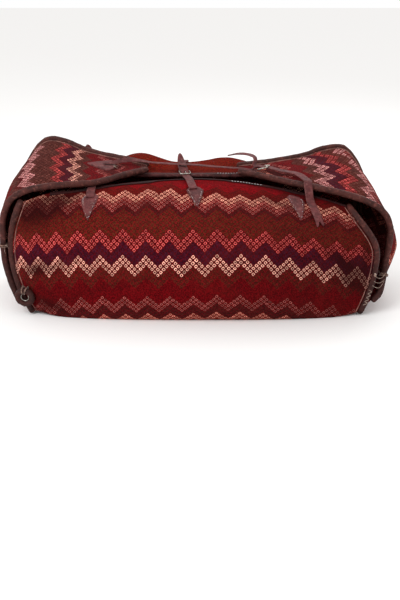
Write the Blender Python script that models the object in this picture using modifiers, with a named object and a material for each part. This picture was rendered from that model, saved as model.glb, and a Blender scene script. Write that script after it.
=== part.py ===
"""A woven bedding bag with rolled leather edges, straps and buckles.

The bag is one long cloth that makes the front, the bottom and the back, and two narrower cloths
that each make an end wall and a flap folded over the mouth. Leather is rolled or folded round
every edge. Three straps cross the mouth and a long strap joins the two flaps.

Metres, +Z up, origin in the middle of the bottom, +X along the bag, the front faces -Y.
"""
import math

import bmesh
import bpy
from mathutils import Matrix, Vector

# Driving sizes of the bag as it stands, stuffed
LENGTH = 1.103
DEPTH = 0.500
BELLY_HEIGHT = 0.165
FRONT_HEIGHT = 0.331
BACK_HEIGHT = 0.336
CLOTH = 0.004
PLAN_SQUARENESS = 2.6
FOOT_SHARE = 0.83
FOOT_SQUARENESS = 3.4

# Sizes of the leather
PIPING_RADIUS = 0.0085
BINDING = 0.002
BINDING_WIDTH = 0.014
LEATHER = 0.0028
STRAP_WIDTH = 0.022
PATCH_WIDTH = 0.044
PATCH_LENGTH = 0.088
PAD_WIDTH = 0.080
PAD_LENGTH = 0.076
PAD_THICKNESS = 0.005
LONG_STRAP_WIDTH = 0.015

# Sizes of the metal
BUCKLE_BAR = 0.0038
BUCKLE_LENGTH = 0.026
PRONG_WIRE = 0.0024
HOLE = 0.0064

# Corner pieces
THONG = 0.0036
CORNER_RING_OUTSIDE = 0.055
CORNER_RING_LEATHER = 0.015
EYELET_WIRE = 0.0024

# Air between pieces that touch
GAP = 0.0003

# How far the side straps, the side patches, the pad and the right buckle stand inside the ends
LEFT_STRAP_INSIDE = 0.2645
RIGHT_STRAP_INSIDE = 0.2675
RIGHT_PATCH_INSIDE = 0.3025
PAD_INSIDE = 0.3145
RIGHT_BUCKLE_INSIDE = 0.3885

# Mesh fineness
COLUMNS = 26
ROWS = (9, 5, 2, 5, 6, 4)
END_ROWS = 22
END_COLUMNS = 10

HALF_LENGTH = LENGTH / 2
HALF_DEPTH = DEPTH / 2
SEAT = PIPING_RADIUS + 3 * GAP

# Where the body cloth's side edges stand, and how far they draw in at the mouth and the bottom
LEFT_EDGE = -HALF_LENGTH + 0.049
RIGHT_EDGE = HALF_LENGTH - 0.086
MOUTH_DRAW = {"left": 0.035, "right": 0.072}
BOTTOM_DRAW = {"left": 0.048, "right": 0.034}
BACK_DRAW = {"left": 0.075, "right": 0.090}


def vec(*values):
    return Vector(values)


def bump(x, middle, width):
    """A round bump of height 1."""
    return math.exp(-((x - middle) / width) ** 2)


def mix(a, b, share):
    return a + (b - a) * share


# The curves that run through points chosen by hand

def smooth(points, knots=None):
    """A function of 0..1 for the smooth curve through points, spaced by their distances."""
    if knots is None:
        knots = [0.0]
        for a, b in zip(points, points[1:]):
            knots.append(knots[-1] + (b - a).length)
    last = len(points) - 1
    slopes = []
    for i in range(last + 1):
        low, high = max(i - 1, 0), min(i + 1, last)
        slopes.append((points[high] - points[low]) / (knots[high] - knots[low]))

    def at(share):
        where = share * knots[-1]
        i = 0
        while i < last - 1 and where > knots[i + 1]:
            i += 1
        span = knots[i + 1] - knots[i]
        t = (where - knots[i]) / span
        return ((2 * t ** 3 - 3 * t ** 2 + 1) * points[i] + (t ** 3 - 2 * t ** 2 + t) * span * slopes[i]
                + (3 * t ** 2 - 2 * t ** 3) * points[i + 1] + (t ** 3 - t ** 2) * span * slopes[i + 1])
    return at


def resample(points, step):
    """Points about step apart on the smooth curve through the given ones."""
    curve = smooth(points)
    fine = [curve(i / 400) for i in range(401)]
    lengths = [0.0]
    for a, b in zip(fine, fine[1:]):
        lengths.append(lengths[-1] + (b - a).length)
    count = max(2, round(lengths[-1] / step))
    result, i = [], 0
    for k in range(count + 1):
        want = lengths[-1] * k / count
        while i < 399 and lengths[i + 1] < want:
            i += 1
        share = (want - lengths[i]) / (lengths[i + 1] - lengths[i])
        result.append(fine[i].lerp(fine[i + 1], min(1, share)))
    return result


# The body cloth: its section across the bag at any x

def plan(x, power):
    """How full the bag is at x, from 1 in the middle to 0 past its ends."""
    return (1 - min(1, abs(x) / (HALF_LENGTH + 0.003)) ** power) ** (1 / power)


def belly(x):
    return HALF_DEPTH * plan(x, PLAN_SQUARENESS)


def foot(x):
    """Half the width that the bag stands on at x."""
    return FOOT_SHARE * HALF_DEPTH * plan(x, FOOT_SQUARENESS)


def lift(x):
    """The bottom curls up towards the two ends."""
    return (PIPING_RADIUS + 0.002) * min(1, max(0, (abs(x) - 0.35) / 0.08)) ** 2


def front_mouth(x):
    side, drop, power = (LEFT_EDGE, 0.035, 2.5) if x < 0 else (RIGHT_EDGE, 0.066, 1.9)
    y = -0.016 - 0.100 * abs(x / 0.40) ** 1.5
    z = FRONT_HEIGHT - drop * (x / side) ** power + 0.008 * bump(x, -0.40, 0.05)
    return y, z


def back_ridge(x):
    """The back's top rises in two soft bumps between the straps and in an ear at each corner."""
    rise = (0.029 * bump(x, -0.172, 0.067) + 0.016 * bump(x, 0.070, 0.065) - 0.012 * bump(x, 0.20, 0.05)
            + 0.018 * bump(x, -HALF_LENGTH + 0.10, 0.085) + 0.004 * bump(x, HALF_LENGTH - 0.13, 0.085))
    return 0.60 * belly(x), BACK_HEIGHT + rise


def back_mouth(x):
    y = back_ridge(x)[0] * (0.23 + 0.40 * (x / 0.50) ** 2)
    return y, BACK_HEIGHT - 0.006


def dents(x, share):
    """Soft hollows and swells of the stuffed cloth, as a push outwards."""
    swells = 0.0
    for middle, row, wide, tall, amount in (
            (-0.40, 0.11, 0.07, 0.040, -0.007), (-0.30, 0.16, 0.09, 0.030, 0.005),
            (-0.12, 0.07, 0.05, 0.030, -0.003), (0.33, 0.13, 0.06, 0.050, -0.005),
            (0.12, 0.20, 0.14, 0.060, 0.005), (-0.22, 0.30, 0.12, 0.040, -0.003),
            (0.20, 0.86, 0.12, 0.060, -0.005), (-0.16, 0.82, 0.10, 0.060, 0.005)):
        swells += amount * bump(x, middle, wide) * bump(share, row, tall)
    return swells


# The sections of the cloth's length: front top, front foot, bottom, back foot, back top, lip
BREAKS = (0.0, 0.255, 0.375, 0.615, 0.735, 0.915, 1.0)


def section(x, share):
    """The y and z of the outer side of the body cloth, from its front edge (0) to its back edge (1)."""
    part = max(i for i in range(6) if share >= BREAKS[i] or i == 0)
    t = (share - BREAKS[part]) / (BREAKS[part + 1] - BREAKS[part])
    y_foot, y_belly, bottom = foot(x), belly(x) + dents(x, share), lift(x)
    turn = math.pi / 2 * t
    if part == 0:
        y, z = front_mouth(x)
        top = z + 0.3 * dents(x, share)
        return mix(y, -y_belly, math.sin(turn)), mix(BELLY_HEIGHT, top, math.cos(turn))
    if part == 1:
        return mix(-y_foot, -y_belly, math.cos(turn)), mix(BELLY_HEIGHT, bottom, math.sin(turn))
    if part == 2:
        return mix(-y_foot, y_foot, t), bottom
    if part == 3:
        return mix(y_foot, y_belly, math.sin(turn)), mix(bottom, BELLY_HEIGHT, 1 - math.cos(turn))
    y_ridge, z_ridge = back_ridge(x)
    if part == 4:
        return mix(y_ridge, y_belly, math.cos(turn)), mix(BELLY_HEIGHT, z_ridge, math.sin(turn))
    y, z = back_mouth(x)
    fall = 0.5 - 0.5 * math.cos(math.pi * min(1, t / 0.7))
    return mix(y_ridge, y, t), mix(z_ridge, z, fall)


def edge(side, share):
    """The x of a side edge of the body cloth."""
    where, inward = (LEFT_EDGE, 1) if side == "left" else (RIGHT_EDGE, -1)
    if share < BREAKS[1]:
        draw = MOUTH_DRAW[side] * math.cos(math.pi / 2 * share / BREAKS[1]) ** 2
    elif share < BREAKS[2]:
        turn = math.pi / 2 * (share - BREAKS[1]) / (BREAKS[2] - BREAKS[1])
        draw = BOTTOM_DRAW[side] * math.sin(turn) ** 2
    elif share < BREAKS[3]:
        draw = BOTTOM_DRAW[side]
    elif share < BREAKS[4]:
        turn = math.pi / 2 * (share - BREAKS[3]) / (BREAKS[4] - BREAKS[3])
        draw = BOTTOM_DRAW[side] * math.cos(turn) ** 2
    else:
        draw = BACK_DRAW[side] * ((share - BREAKS[4]) / (1 - BREAKS[4])) ** 2
    return where + inward * draw


def body(u, share):
    """A point on the body cloth's outer side: u runs from the left side binding to the right one."""
    x = mix(edge("left", share), edge("right", share), u)
    y, z = section(x, share)
    return vec(x, y, z)


def inset(place, distance, corner, inward, along):
    """How far inward, as a share, a distance straight in from an edge of place(u, v) reaches."""
    if not distance:
        return 0
    step = 0.01
    here = place(*corner)
    across = place(corner[0] + step * inward[0], corner[1] + step * inward[1]) - here
    edge = (place(corner[0] + step * along[0], corner[1] + step * along[1]) - here).normalized()
    across -= edge * across.dot(edge)
    return distance * step / across.length


def trimmed_row(place, u, v, trim):
    side = (1 if u < 0.5 else -1, 0)
    low = inset(place, trim[0], (u, 0), (0, 1), side)
    high = 1 - inset(place, trim[1], (u, 1), (0, -1), side)
    return mix(low, high, v)


def trimmed(place, u, v, trim_u, trim_v=(0, 0)):
    """place(u, v) on a sheet whose edges stop the given distances short of its frame."""
    v = trimmed_row(place, u, v, trim_v)
    side = (0, 1 if v < 0.5 else -1)
    low = inset(place, trim_u[0], (0, v), (1, 0), side)
    high = inset(place, trim_u[1], (1, v), (-1, 0), side)
    return place(mix(low, 1 - high, u), v)


def body_cloth_point(u, share):
    return trimmed(body, u, share, (SEAT, SEAT))


def on_front(x, distance):
    """The point at x on the front, at a distance down the cloth from its top edge."""
    travelled, share, step = 0.0, 0.0, 0.002
    here = vec(x, *section(x, 0))
    while travelled < distance:
        there = vec(x, *section(x, share + step))
        travelled += (there - here).length
        share += step
        here = there
    return here


def on_back(x, distance):
    """The point at x on the back, at a distance from its top edge, over the ridge and down."""
    travelled, share, step = 0.0, 1.0, 0.002
    here = vec(x, *section(x, 1))
    while travelled < distance:
        there = vec(x, *section(x, share - step))
        travelled += (there - here).length
        share -= step
        here = there
    return here


def back_top(x, y):
    """The height of the back's top at x and y."""
    y_mouth, z_mouth = back_mouth(x)
    y_ridge, z_ridge = back_ridge(x)
    t = min(1, max(0, (y_ridge - y) / (y_ridge - y_mouth)))
    return mix(z_ridge, z_mouth, 0.5 - 0.5 * math.cos(math.pi * min(1, t / 0.7)))


# The end cloths. Three lines shape each one: its front edge, its middle and its back edge. Low down
# the two edges run beside the body cloth's side edges. Higher up each station gives how far the
# line stands inside the bag's end, its y as a share of the half depth, and its height as a share
# of the back's height.

LOW = {"left": {"front": ((0.042, 0.001), (0.095, 0.003), (0.150, 0.006)),
                "back": ((0.042, 0.001), (0.095, 0.001), (0.150, 0.001), (0.225, 0.002), (0.290, 0.005))},
       "right": {"front": ((0.042, 0.001), (0.070, 0.016)),
                 "back": ((0.042, 0.001), (0.080, 0.001), (0.145, 0.001), (0.210, 0.002), (0.275, 0.006))}}

LEFT_MIDDLE = ((0.050, 0, 0.1726), (0.014, 0, 0.3274), (0.0004, 0, 0.4911), (0.002, 0, 0.6607),
               (0.017, 0, 0.8482), (0.046, 0, 0.9881), (0.100, 0, 1.0923), (0.160, 0.04, 1.1012),
               (0.220, 0.08, 1.0655), (0.280, 0.12, 1.0476), (0.345, 0.20, 1.0446),
               (0.402, 0.22, 1.0357))
LEFT_FRONT = ((0.031, -0.570, 0.6310), (0.037, -0.560, 0.7976), (0.058, -0.556, 0.9167),
              (0.096, -0.540, 0.9851), (0.150, -0.470, 1.0089), (0.215, -0.402, 1.0140),
              (0.275, -0.318, 1.0095), (0.345, -0.094, 1.0290), (0.402, 0.120, 1.0327))
LEFT_BACK = ((0.070, 0.664, 1.0774), (0.112, 0.652, 1.1964), (0.165, 0.632, 1.1815),
             (0.222, 0.604, 1.1161), (0.285, 0.545, 1.0774), (0.345, 0.430, 1.0625),
             (0.402, 0.320, 1.0417))

RIGHT_MIDDLE = ((0.064, 0, 0.1637), (0.034, 0, 0.2679), (0.004, 0, 0.4464), (0.017, 0, 0.5952),
                (0.049, 0, 0.7738), (0.080, 0, 0.9226), (0.121, 0, 1.0179), (0.165, 0.03, 1.0446),
                (0.226, 0.06, 1.0387), (0.296, 0.10, 1.0298), (0.370, 0.15, 1.0268),
                (0.442, 0.18, 1.0298))
RIGHT_FRONT = ((0.050, -0.500, 0.4167), (0.044, -0.480, 0.5655), (0.047, -0.470, 0.7024),
               (0.072, -0.480, 0.8214), (0.120, -0.490, 0.9018), (0.172, -0.464, 0.9464),
               (0.232, -0.400, 0.9792), (0.300, -0.284, 0.9970), (0.370, -0.110, 1.0149),
               (0.442, 0.050, 1.0268))
RIGHT_BACK = ((0.100, 0.650, 1.0119), (0.140, 0.645, 1.1310), (0.192, 0.622, 1.1250),
              (0.245, 0.580, 1.0774), (0.305, 0.520, 1.0506), (0.370, 0.420, 1.0387),
              (0.442, 0.310, 1.0357))


def share_at(u, back, height):
    """The place along a side edge of the body cloth that is at a height."""
    low, high = (0.0, BREAKS[2]) if not back else (BREAKS[5], BREAKS[3])
    for _ in range(30):
        share = (low + high) / 2
        if body(u, share).z > height:
            low = share
        else:
            high = share
    return share


def beside(side, back, height, gap):
    """The axis of a flap's piping at a height, beside the body cloth's side binding."""
    u, sign = (0, -1) if side == "left" else (1, 1)
    share = share_at(u, back, height)
    along = (body(u, share + 0.005) - body(u, share - 0.005)).normalized()
    away = vec(sign, -0.35 if back else 0.35, 0)
    away = (away - along * away.dot(along)).normalized()
    return body(u, share) + away * (2 * PIPING_RADIUS + GAP + gap)


def end_lines(side):
    """The front, middle and back line of an end cloth, from the bottom to the flap's tip."""
    sign, u = (-1, 0) if side == "left" else (1, 1)
    stations = ((LEFT_FRONT, LEFT_MIDDLE, LEFT_BACK) if side == "left"
                else (RIGHT_FRONT, RIGHT_MIDDLE, RIGHT_BACK))
    placed = [[vec(sign * (HALF_LENGTH - x), y * HALF_DEPTH, z * BACK_HEIGHT) for x, y, z in line]
              for line in stations]
    corner = body(u, BREAKS[2])
    front = [corner] + [beside(side, False, z, gap) for z, gap in LOW[side]["front"]] + placed[0]
    middle = [vec(corner.x, 0, corner.z)] + placed[1]
    back = [body(u, BREAKS[3])] + [beside(side, True, z, gap) for z, gap in LOW[side]["back"]] + placed[2]
    return front, middle, back


def strip(side):
    """A function of u, t for an end cloth: u from front edge to back edge, t from bottom to tip."""
    lines = end_lines(side)
    knots = [0.0]
    for a, b in zip(lines[1], lines[1][1:]):
        knots.append(knots[-1] + (b - a).length)
    front, middle, back = (smooth(line, knots) for line in lines)
    first = knots[1] / knots[-1]

    def at(u, t):
        f, m, b = front(t), middle(t), back(t)
        return (1 - u) * (1 - 2 * u) * f + 4 * u * (1 - u) * m + u * (2 * u - 1) * b
    return at, first


LEFT_END, LEFT_FIRST = strip("left")
RIGHT_END, RIGHT_FIRST = strip("right")
ENDS = {"left": (LEFT_END, LEFT_FIRST), "right": (RIGHT_END, RIGHT_FIRST)}


def flap_point(side, x, y):
    """The point on the outer side of a flap above x and y."""
    place = ENDS[side][0]
    u, t, step = 0.5, 0.75, 0.002
    for _ in range(12):
        here = place(u, t)
        by_u, by_t = (place(u + step, t) - here) / step, (place(u, t + step) - here) / step
        turn = by_u.x * by_t.y - by_u.y * by_t.x
        dx, dy = x - here.x, y - here.y
        u = min(1.2, max(-0.2, u + (dx * by_t.y - dy * by_t.x) / turn))
        t = min(1, max(0.45, t + (by_u.x * dy - by_u.y * dx) / turn))
    return place(u, t)


# Materials and makers

MATERIALS = {
    "wool": ((0.17, 0.012, 0.010), 0.92, 0.0),
    "edge_leather": ((0.11, 0.040, 0.032), 0.62, 0.0),
    "binding_leather": ((0.060, 0.020, 0.026), 0.58, 0.0),
    "strap_leather": ((0.13, 0.062, 0.052), 0.60, 0.0),
    "thong": ((0.20, 0.120, 0.085), 0.70, 0.0),
    "buckle_metal": ((0.42, 0.40, 0.35), 0.38, 1.0),
}


def material(name):
    found = bpy.data.materials.get(name)
    if found:
        return found
    colour, roughness, metallic = MATERIALS[name]
    made = bpy.data.materials.new(name)
    made.use_nodes = True
    shader = made.node_tree.nodes["Principled BSDF"]
    shader.inputs["Base Color"].default_value = (*colour, 1)
    shader.inputs["Roughness"].default_value = roughness
    shader.inputs["Metallic"].default_value = metallic
    made.diffuse_color = (*colour, 1)
    return made


def add(name, data, finish):
    thing = bpy.data.objects.new(name, data)
    PARTS.objects.link(thing)
    data.materials.append(material(finish))
    return thing


def cutter(name, mesh):
    thing = bpy.data.objects.new(name, mesh)
    CUTTERS.objects.link(thing)
    thing.hide_render = True
    thing.display_type = "WIRE"
    return thing


def sheet(name, finish, place, columns, rows, wall, outwards=1, flip=False):
    """An open grid laid on place(u, v), with its wall added on the outer or the inner side."""
    mesh = bpy.data.meshes.new(name)
    bm = bmesh.new()
    bmesh.ops.create_grid(bm, x_segments=columns, y_segments=rows, size=0.5)
    for vertex in bm.verts:
        vertex.co = place(vertex.co.x + 0.5, vertex.co.y + 0.5)
    if flip:
        bmesh.ops.reverse_faces(bm, faces=bm.faces)
    bm.to_mesh(mesh)
    bm.free()
    mesh.shade_smooth()
    thing = add(name, mesh, finish)
    solidify = thing.modifiers.new("Wall", "SOLIDIFY")
    solidify.thickness = wall
    solidify.offset = outwards
    solidify.use_even_offset = True
    return thing


def tube(name, finish, points, radius, closed=False, resolution=2):
    """A round rod, wire or rolled edge along the given points."""
    curve = bpy.data.curves.new(name, "CURVE")
    curve.dimensions = "3D"
    curve.bevel_depth = radius
    curve.bevel_resolution = resolution
    curve.use_fill_caps = True
    spline = curve.splines.new("POLY")
    spline.points.add(len(points) - 1)
    for target, point in zip(spline.points, points):
        target.co = (*point, 1)
    spline.use_cyclic_u = closed
    return add(name, curve, finish)


def tip(share):
    """How wide a strap is near its end, as a share of its full width."""
    return min(1, 0.16 + 0.84 * math.sqrt(max(0, 1 - share)))


def ribbon(name, finish, points, across, width, thickness, point_length=0.0):
    """A flat strap: points run along the middle of its under side, across is its width's direction.

    across is one vector or one for each point. The strap may end in a point.
    """
    directions = across if isinstance(across, list) else [across] * len(points)
    lengths = [0.0]
    for a, b in zip(points, points[1:]):
        lengths.append(lengths[-1] + (b - a).length)

    def place(u, v):
        i = min(len(points) - 2, int(v * (len(points) - 1) + 1e-6))
        share = v * (len(points) - 1) - i
        middle = points[i].lerp(points[i + 1], share)
        side = directions[i].lerp(directions[i + 1], share).normalized()
        left = lengths[-1] - mix(lengths[i], lengths[i + 1], share)
        half = width / 2 * (tip(1 - left / point_length) if left < point_length else 1)
        return middle + side * half * (2 * u - 1)
    return sheet(name, finish, place, 2, len(points) - 1, thickness)


def shield(share):
    """Half the width of an arrow-shaped patch along its length: shoulders, then a long point."""
    if share < 0.16:
        return mix(0.30, 0.50, share / 0.16)
    return 0.5 * (1 - ((share - 0.16) / 0.84) ** 1.35) + 0.012


def patch(name, x, start, surface, lean=0.0, width=PATCH_WIDTH, length=PATCH_LENGTH):
    """An arrow-shaped leather patch that lies on the front or the back."""
    out = -1 if surface is on_front else 1

    def place(u, v):
        half = width * shield(v)
        distance = start + v * length
        across = x + lean * v * length + half * (2 * u - 1)
        point = surface(across, distance)
        down = surface(across, distance + 0.004) - surface(across, max(0, distance - 0.004))
        normal = down.cross(vec(1, 0, 0)).normalized() * out * -1
        return point + normal * GAP
    return sheet(name, "strap_leather", place, 2, 8, LEATHER, flip=surface is on_front)


def cut(thing, mesh, name):
    boolean = thing.modifiers.new(name, "BOOLEAN")
    boolean.operation = "DIFFERENCE"
    boolean.solver = "EXACT"
    boolean.object = cutter(name, mesh)


def rod_mesh(name, start, end, radius, sides=12):
    mesh = bpy.data.meshes.new(name)
    bm = bmesh.new()
    along = end - start
    bmesh.ops.create_cone(bm, cap_ends=True, segments=sides, radius1=radius, radius2=radius,
                          depth=along.length)
    turn = along.to_track_quat("Z", "Y").to_matrix().to_4x4()
    bm.transform(Matrix.Translation((start + end) / 2) @ turn)
    bm.to_mesh(mesh)
    bm.free()
    return mesh


def box_mesh(name, frame, low, high):
    mesh = bpy.data.meshes.new(name)
    bm = bmesh.new()
    bmesh.ops.create_cube(bm, size=1)
    size = [h - l for l, h in zip(low, high)]
    middle = [(l + h) / 2 for l, h in zip(low, high)]
    bm.transform(frame @ Matrix.Translation(middle) @ Matrix.Diagonal((*size, 1)))
    bm.to_mesh(mesh)
    bm.free()
    return mesh


# The buckles. In a buckle's own frame x runs from its toe bar to its heel bar, y across the strap
# and z up; its origin is on the heel bar.

BAR = BUCKLE_BAR / 2
WIRE = PRONG_WIRE / 2
INNER_WRAP = BAR + GAP
OUTER_WRAP = INNER_WRAP + LEATHER
STRAP_UNDER_TOE = BAR + GAP + LEATHER
STRAP_OVER_HEEL = OUTER_WRAP + GAP
THREAD_ANGLE = math.asin((STRAP_OVER_HEEL + STRAP_UNDER_TOE) / BUCKLE_LENGTH)


def buckle_frame(heel, toe, across):
    along = (heel - toe).normalized()
    side = (across - along * across.dot(along)).normalized()
    up = along.cross(side)
    turn = Matrix((along, side, up)).transposed().to_4x4()
    return Matrix.Translation(heel) @ turn


def threaded():
    """The under side of a strap that passes under the toe bar and over the heel bar."""
    sine, cosine = math.sin(THREAD_ANGLE), math.cos(THREAD_ANGLE)
    half_sine, half_cosine = math.sin(THREAD_ANGLE / 2), math.cos(THREAD_ANGLE / 2)
    return [(-BUCKLE_LENGTH - 0.006, -STRAP_UNDER_TOE),
            (-BUCKLE_LENGTH, -STRAP_UNDER_TOE - 0.0002),
            (-BUCKLE_LENGTH + STRAP_UNDER_TOE * half_sine, -STRAP_UNDER_TOE * half_cosine - 0.0001),
            (-BUCKLE_LENGTH + STRAP_UNDER_TOE * sine, -STRAP_UNDER_TOE * cosine),
            (-BUCKLE_LENGTH / 2, mix(-STRAP_UNDER_TOE, STRAP_OVER_HEEL, 0.5) * cosine),
            (-STRAP_OVER_HEEL * sine, STRAP_OVER_HEEL * cosine),
            (-STRAP_OVER_HEEL * half_sine, STRAP_OVER_HEEL * half_cosine + 0.0003),
            (0.0004, STRAP_OVER_HEEL + 0.0004)]


def buckle(name, frame):
    """The bent wire frame of a buckle."""
    half = STRAP_WIDTH / 2 + 0.0012 + BAR
    corner = 0.004
    middles = ((-BUCKLE_LENGTH + corner, half - corner, 90), (-BUCKLE_LENGTH + corner, corner - half, 180),
               (-corner, corner - half, 270), (-corner, half - corner, 0))
    points = []
    for x, y, start in middles:
        for step in range(4):
            angle = math.radians(start + 30 * step)
            points.append(frame @ vec(x + corner * math.cos(angle), y + corner * math.sin(angle), 0))
    return tube(name, "buckle_metal", points, BAR, closed=True)


def prong(name, frame):
    """A wire looped round the heel bar that goes up through the strap's hole to the toe bar."""
    ring = INNER_WRAP + WIRE
    points = []
    for step in range(10):
        angle = math.radians(160 - 30 * step)
        points.append(vec(ring * math.cos(angle), 0, ring * math.sin(angle)))
    rest = BAR + GAP + WIRE
    points += [vec(-0.0085, 0, -0.0012), vec(-0.0132, 0, 0.0014), vec(-0.0178, 0, 0.0044),
               vec(-BUCKLE_LENGTH, 0, rest + 0.0001), vec(-BUCKLE_LENGTH - 0.003, 0, rest - 0.0004)]
    return tube(name, "buckle_metal", [frame @ p for p in points], WIRE, resolution=1)


def wrap(tail):
    """The under layer, the fold round the heel bar and the top layer of a chape, in x and z."""
    middle = INNER_WRAP
    points = [(tail, -middle)]
    for step in range(7):
        angle = math.radians(270 - 30 * step)
        points.append((middle * math.cos(angle), middle * math.sin(angle)))
    points.append((0.020, middle))
    return points


def thread_hole(strap, name, frame):
    """The hole that the prong comes up through."""
    sine, cosine = math.sin(THREAD_ANGLE), math.cos(THREAD_ANGLE)
    middle = vec(-0.0132, 0, 0.0012)
    normal = vec(-sine, 0, cosine)
    start, end = frame @ (middle - normal * 0.006), frame @ (middle + normal * 0.006)
    cut(strap, rod_mesh(name, start, end, HOLE / 2), name)


# The pieces

def make_cloths():
    sheet("body_cloth", "wool", body_rows, COLUMNS, sum(ROWS), CLOTH, outwards=-1, flip=True)
    for side, (place, _) in ENDS.items():
        def laid(u, t, place=place):
            return trimmed(place, u, t, (SEAT, SEAT), (SEAT, 0))
        sheet(f"{side}_end_cloth", "wool", laid, END_COLUMNS, END_ROWS, CLOTH, outwards=-1,
              flip=side == "left")


def row_share(v):
    """The place along the body cloth of a row of its mesh, with as many rows as each stretch needs."""
    row = v * sum(ROWS)
    for i, count in enumerate(ROWS):
        if row <= count or i == len(ROWS) - 1:
            return mix(BREAKS[i], BREAKS[i + 1], row / count)
        row -= count


def body_rows(u, v):
    return body_cloth_point(u, row_share(v))


def make_side_bindings():
    rows = sum(ROWS)
    for side, u in (("left", 0), ("right", 1)):
        points = [body(u, row_share(i / rows)) for i in range(rows + 1)]
        tube(f"{side}_side_binding", "edge_leather", points, PIPING_RADIUS)


def make_flap_pipings():
    for side, (place, first) in ENDS.items():
        for edge_name, u in (("front", 0), ("back", 1)):
            rows = [trimmed_row(place, u, i / END_ROWS, (SEAT, 0)) for i in range(END_ROWS + 1)]
            points = [place(u, t) for t in rows if t >= first]
            tube(f"{side}_flap_{edge_name}_piping", "edge_leather", points, PIPING_RADIUS)


def make_mouth_bindings():
    """Leather folded over the cloth's two mouth edges."""
    fold = CLOTH / 2 + 3 * GAP
    rows = sum(ROWS)
    for name, end in (("front", 0.0), ("back", 1.0)):
        toward = 1 / rows if end == 0 else -1 / rows

        def place(u, v, end=end, toward=toward):
            u = mix(2 / COLUMNS, 1, u)
            point = body_rows(u, end)
            inward = (body_rows(u, end + toward) - point).normalized()
            side = body_rows(min(1, u + 0.01), end) - body_rows(max(0, u - 0.01), end)
            normal = inward.cross(side).normalized()
            if normal.z < 0:
                normal = -normal
            middle = point - normal * CLOTH / 2
            around = abs(v - 0.5) * 2
            half = 1 if v >= 0.5 else -1
            if around <= 0.67:
                angle = math.pi / 2 * around / 0.67
                return middle - inward * fold * math.cos(angle) + normal * half * fold * math.sin(angle)
            return middle + inward * BINDING_WIDTH * (around - 0.67) / 0.33 + normal * half * fold
        sheet(f"{name}_mouth_binding", "binding_leather", place, COLUMNS - 2, 6, BINDING, flip=end == 0)


# The straps

ON_CLOTH = LEATHER + 4 * GAP


def lifted(surface, x, distance, height):
    """A point a height above the front or the back, at a distance from its top edge."""
    here = surface(x, distance)
    along = (surface(x, distance + 0.01) - here).normalized()
    normal = along.cross(vec(1, 0, 0)).normalized()
    if surface is on_front:
        normal = -normal
    return here - normal * height


def back_length(x):
    """The length of cloth from the back's top edge to its ridge."""
    distance = 0.0
    while on_back(x, distance).y < back_ridge(x)[0] - 0.001:
        distance += 0.002
    return distance


def make_middle_strap():
    """It crosses the mouth from the front patch and goes through the buckle on the back chape."""
    slope, start = -0.20, -0.035
    across = vec(1, -slope, 0).normalized()
    heel_y = 0.048
    x = start + slope * heel_y
    rise = ON_CLOTH + LEATHER + BAR + GAP
    heel = vec(x, heel_y, back_top(x, heel_y) + rise)
    toe = heel + vec(-slope, -1, -0.08).normalized() * BUCKLE_LENGTH
    frame = buckle_frame(heel, toe, -across)
    buckle("middle_buckle_frame", frame)
    prong("middle_buckle_prong", frame)

    through = [frame @ vec(px, 0, pz) for px, pz in threaded()]
    lead = [lifted(on_front, start + slope * (front_mouth(start)[0] - 0.9 * d), d, ON_CLOTH)
            for d in (0.075, 0.055, 0.035, 0.016, 0.004)]
    tail = [through[-1], frame @ vec(0.020, 0, STRAP_OVER_HEEL + 3 * GAP),
            vec(x - 0.009, 0.090, heel.z + 0.0165), vec(x - 0.013, 0.112, heel.z + 0.0330)]
    path = resample(lead + through[:1], 0.014)[:-1] + through[:-1] + resample(tail, 0.012)
    strap = ribbon("middle_strap", "strap_leather", path, across, STRAP_WIDTH, LEATHER, point_length=0.030)
    thread_hole(strap, "middle_prong_hole", frame)

    upper = ON_CLOTH + LEATHER
    ridge = back_length(x)
    down = [lifted(on_back, x, ridge + d, upper + more)
            for d, more in ((0.118, 0.0004), (0.104, 0.0005), (0.085, 0.0005), (0.060, 0), (0.030, 0),
                            (0.0, 0))]
    run = [lifted(on_back, x + slope * 0.5 * share * ridge, ridge * share, upper)
           for share in (0.75, 0.5, 0.3)]
    fold = [frame @ vec(px, 0, pz) for px, pz in wrap(0.016)]
    chape(down + run, fold, "middle_chape", frame, vec(1, 0, 0), across, STRAP_WIDTH)


def chape(run, fold, name, frame, begin, across, width):
    """A strap that folds round the heel bar, with a slot in the fold for the prong.

    Its width lies along begin at its far end and along across at the buckle.
    """
    lead = resample(run + fold[:1], 0.014)[:-1]
    turning = [begin.lerp(across, min(1, 1.3 * i / len(lead))).normalized() for i in range(len(lead))]
    piece = ribbon(name, "strap_leather", lead + fold, turning + [across] * len(fold), width, LEATHER)
    slot = PRONG_WIRE / 2 + 0.0012
    reach = OUTER_WRAP + 0.0035
    cut(piece, box_mesh(f"{name}_slot", frame, (-0.012, -slot, -0.012), (reach, slot, 0.012)), f"{name}_slot")


def make_left_strap():
    """It runs under the left flap, and its end pokes out behind the flap's back piping."""
    x = LEFT_STRAP_INSIDE - HALF_LENGTH
    front = [lifted(on_front, x, d, ON_CLOTH) for d in (0.058, 0.042, 0.026, 0.012)]
    ridge = back_length(x)
    back = [lifted(on_back, x - lean, ridge * share, ON_CLOTH)
            for share, lean in ((0.05, 0.012), (0.4, 0.018), (0.75, 0.025))]
    y, z = back_ridge(x)
    end = [vec(x - 0.030, y + 0.006, z + 0.0050), vec(x - 0.033, y + 0.020, z + 0.0150),
           vec(x - 0.037, y + 0.027, z + 0.0300), vec(x - 0.040, y + 0.029, z + 0.0470)]
    path = resample(front + back + end, 0.012)
    ribbon("left_strap", "strap_leather", path, vec(1, 0.1, 0), STRAP_WIDTH, LEATHER, point_length=0.022)


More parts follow.
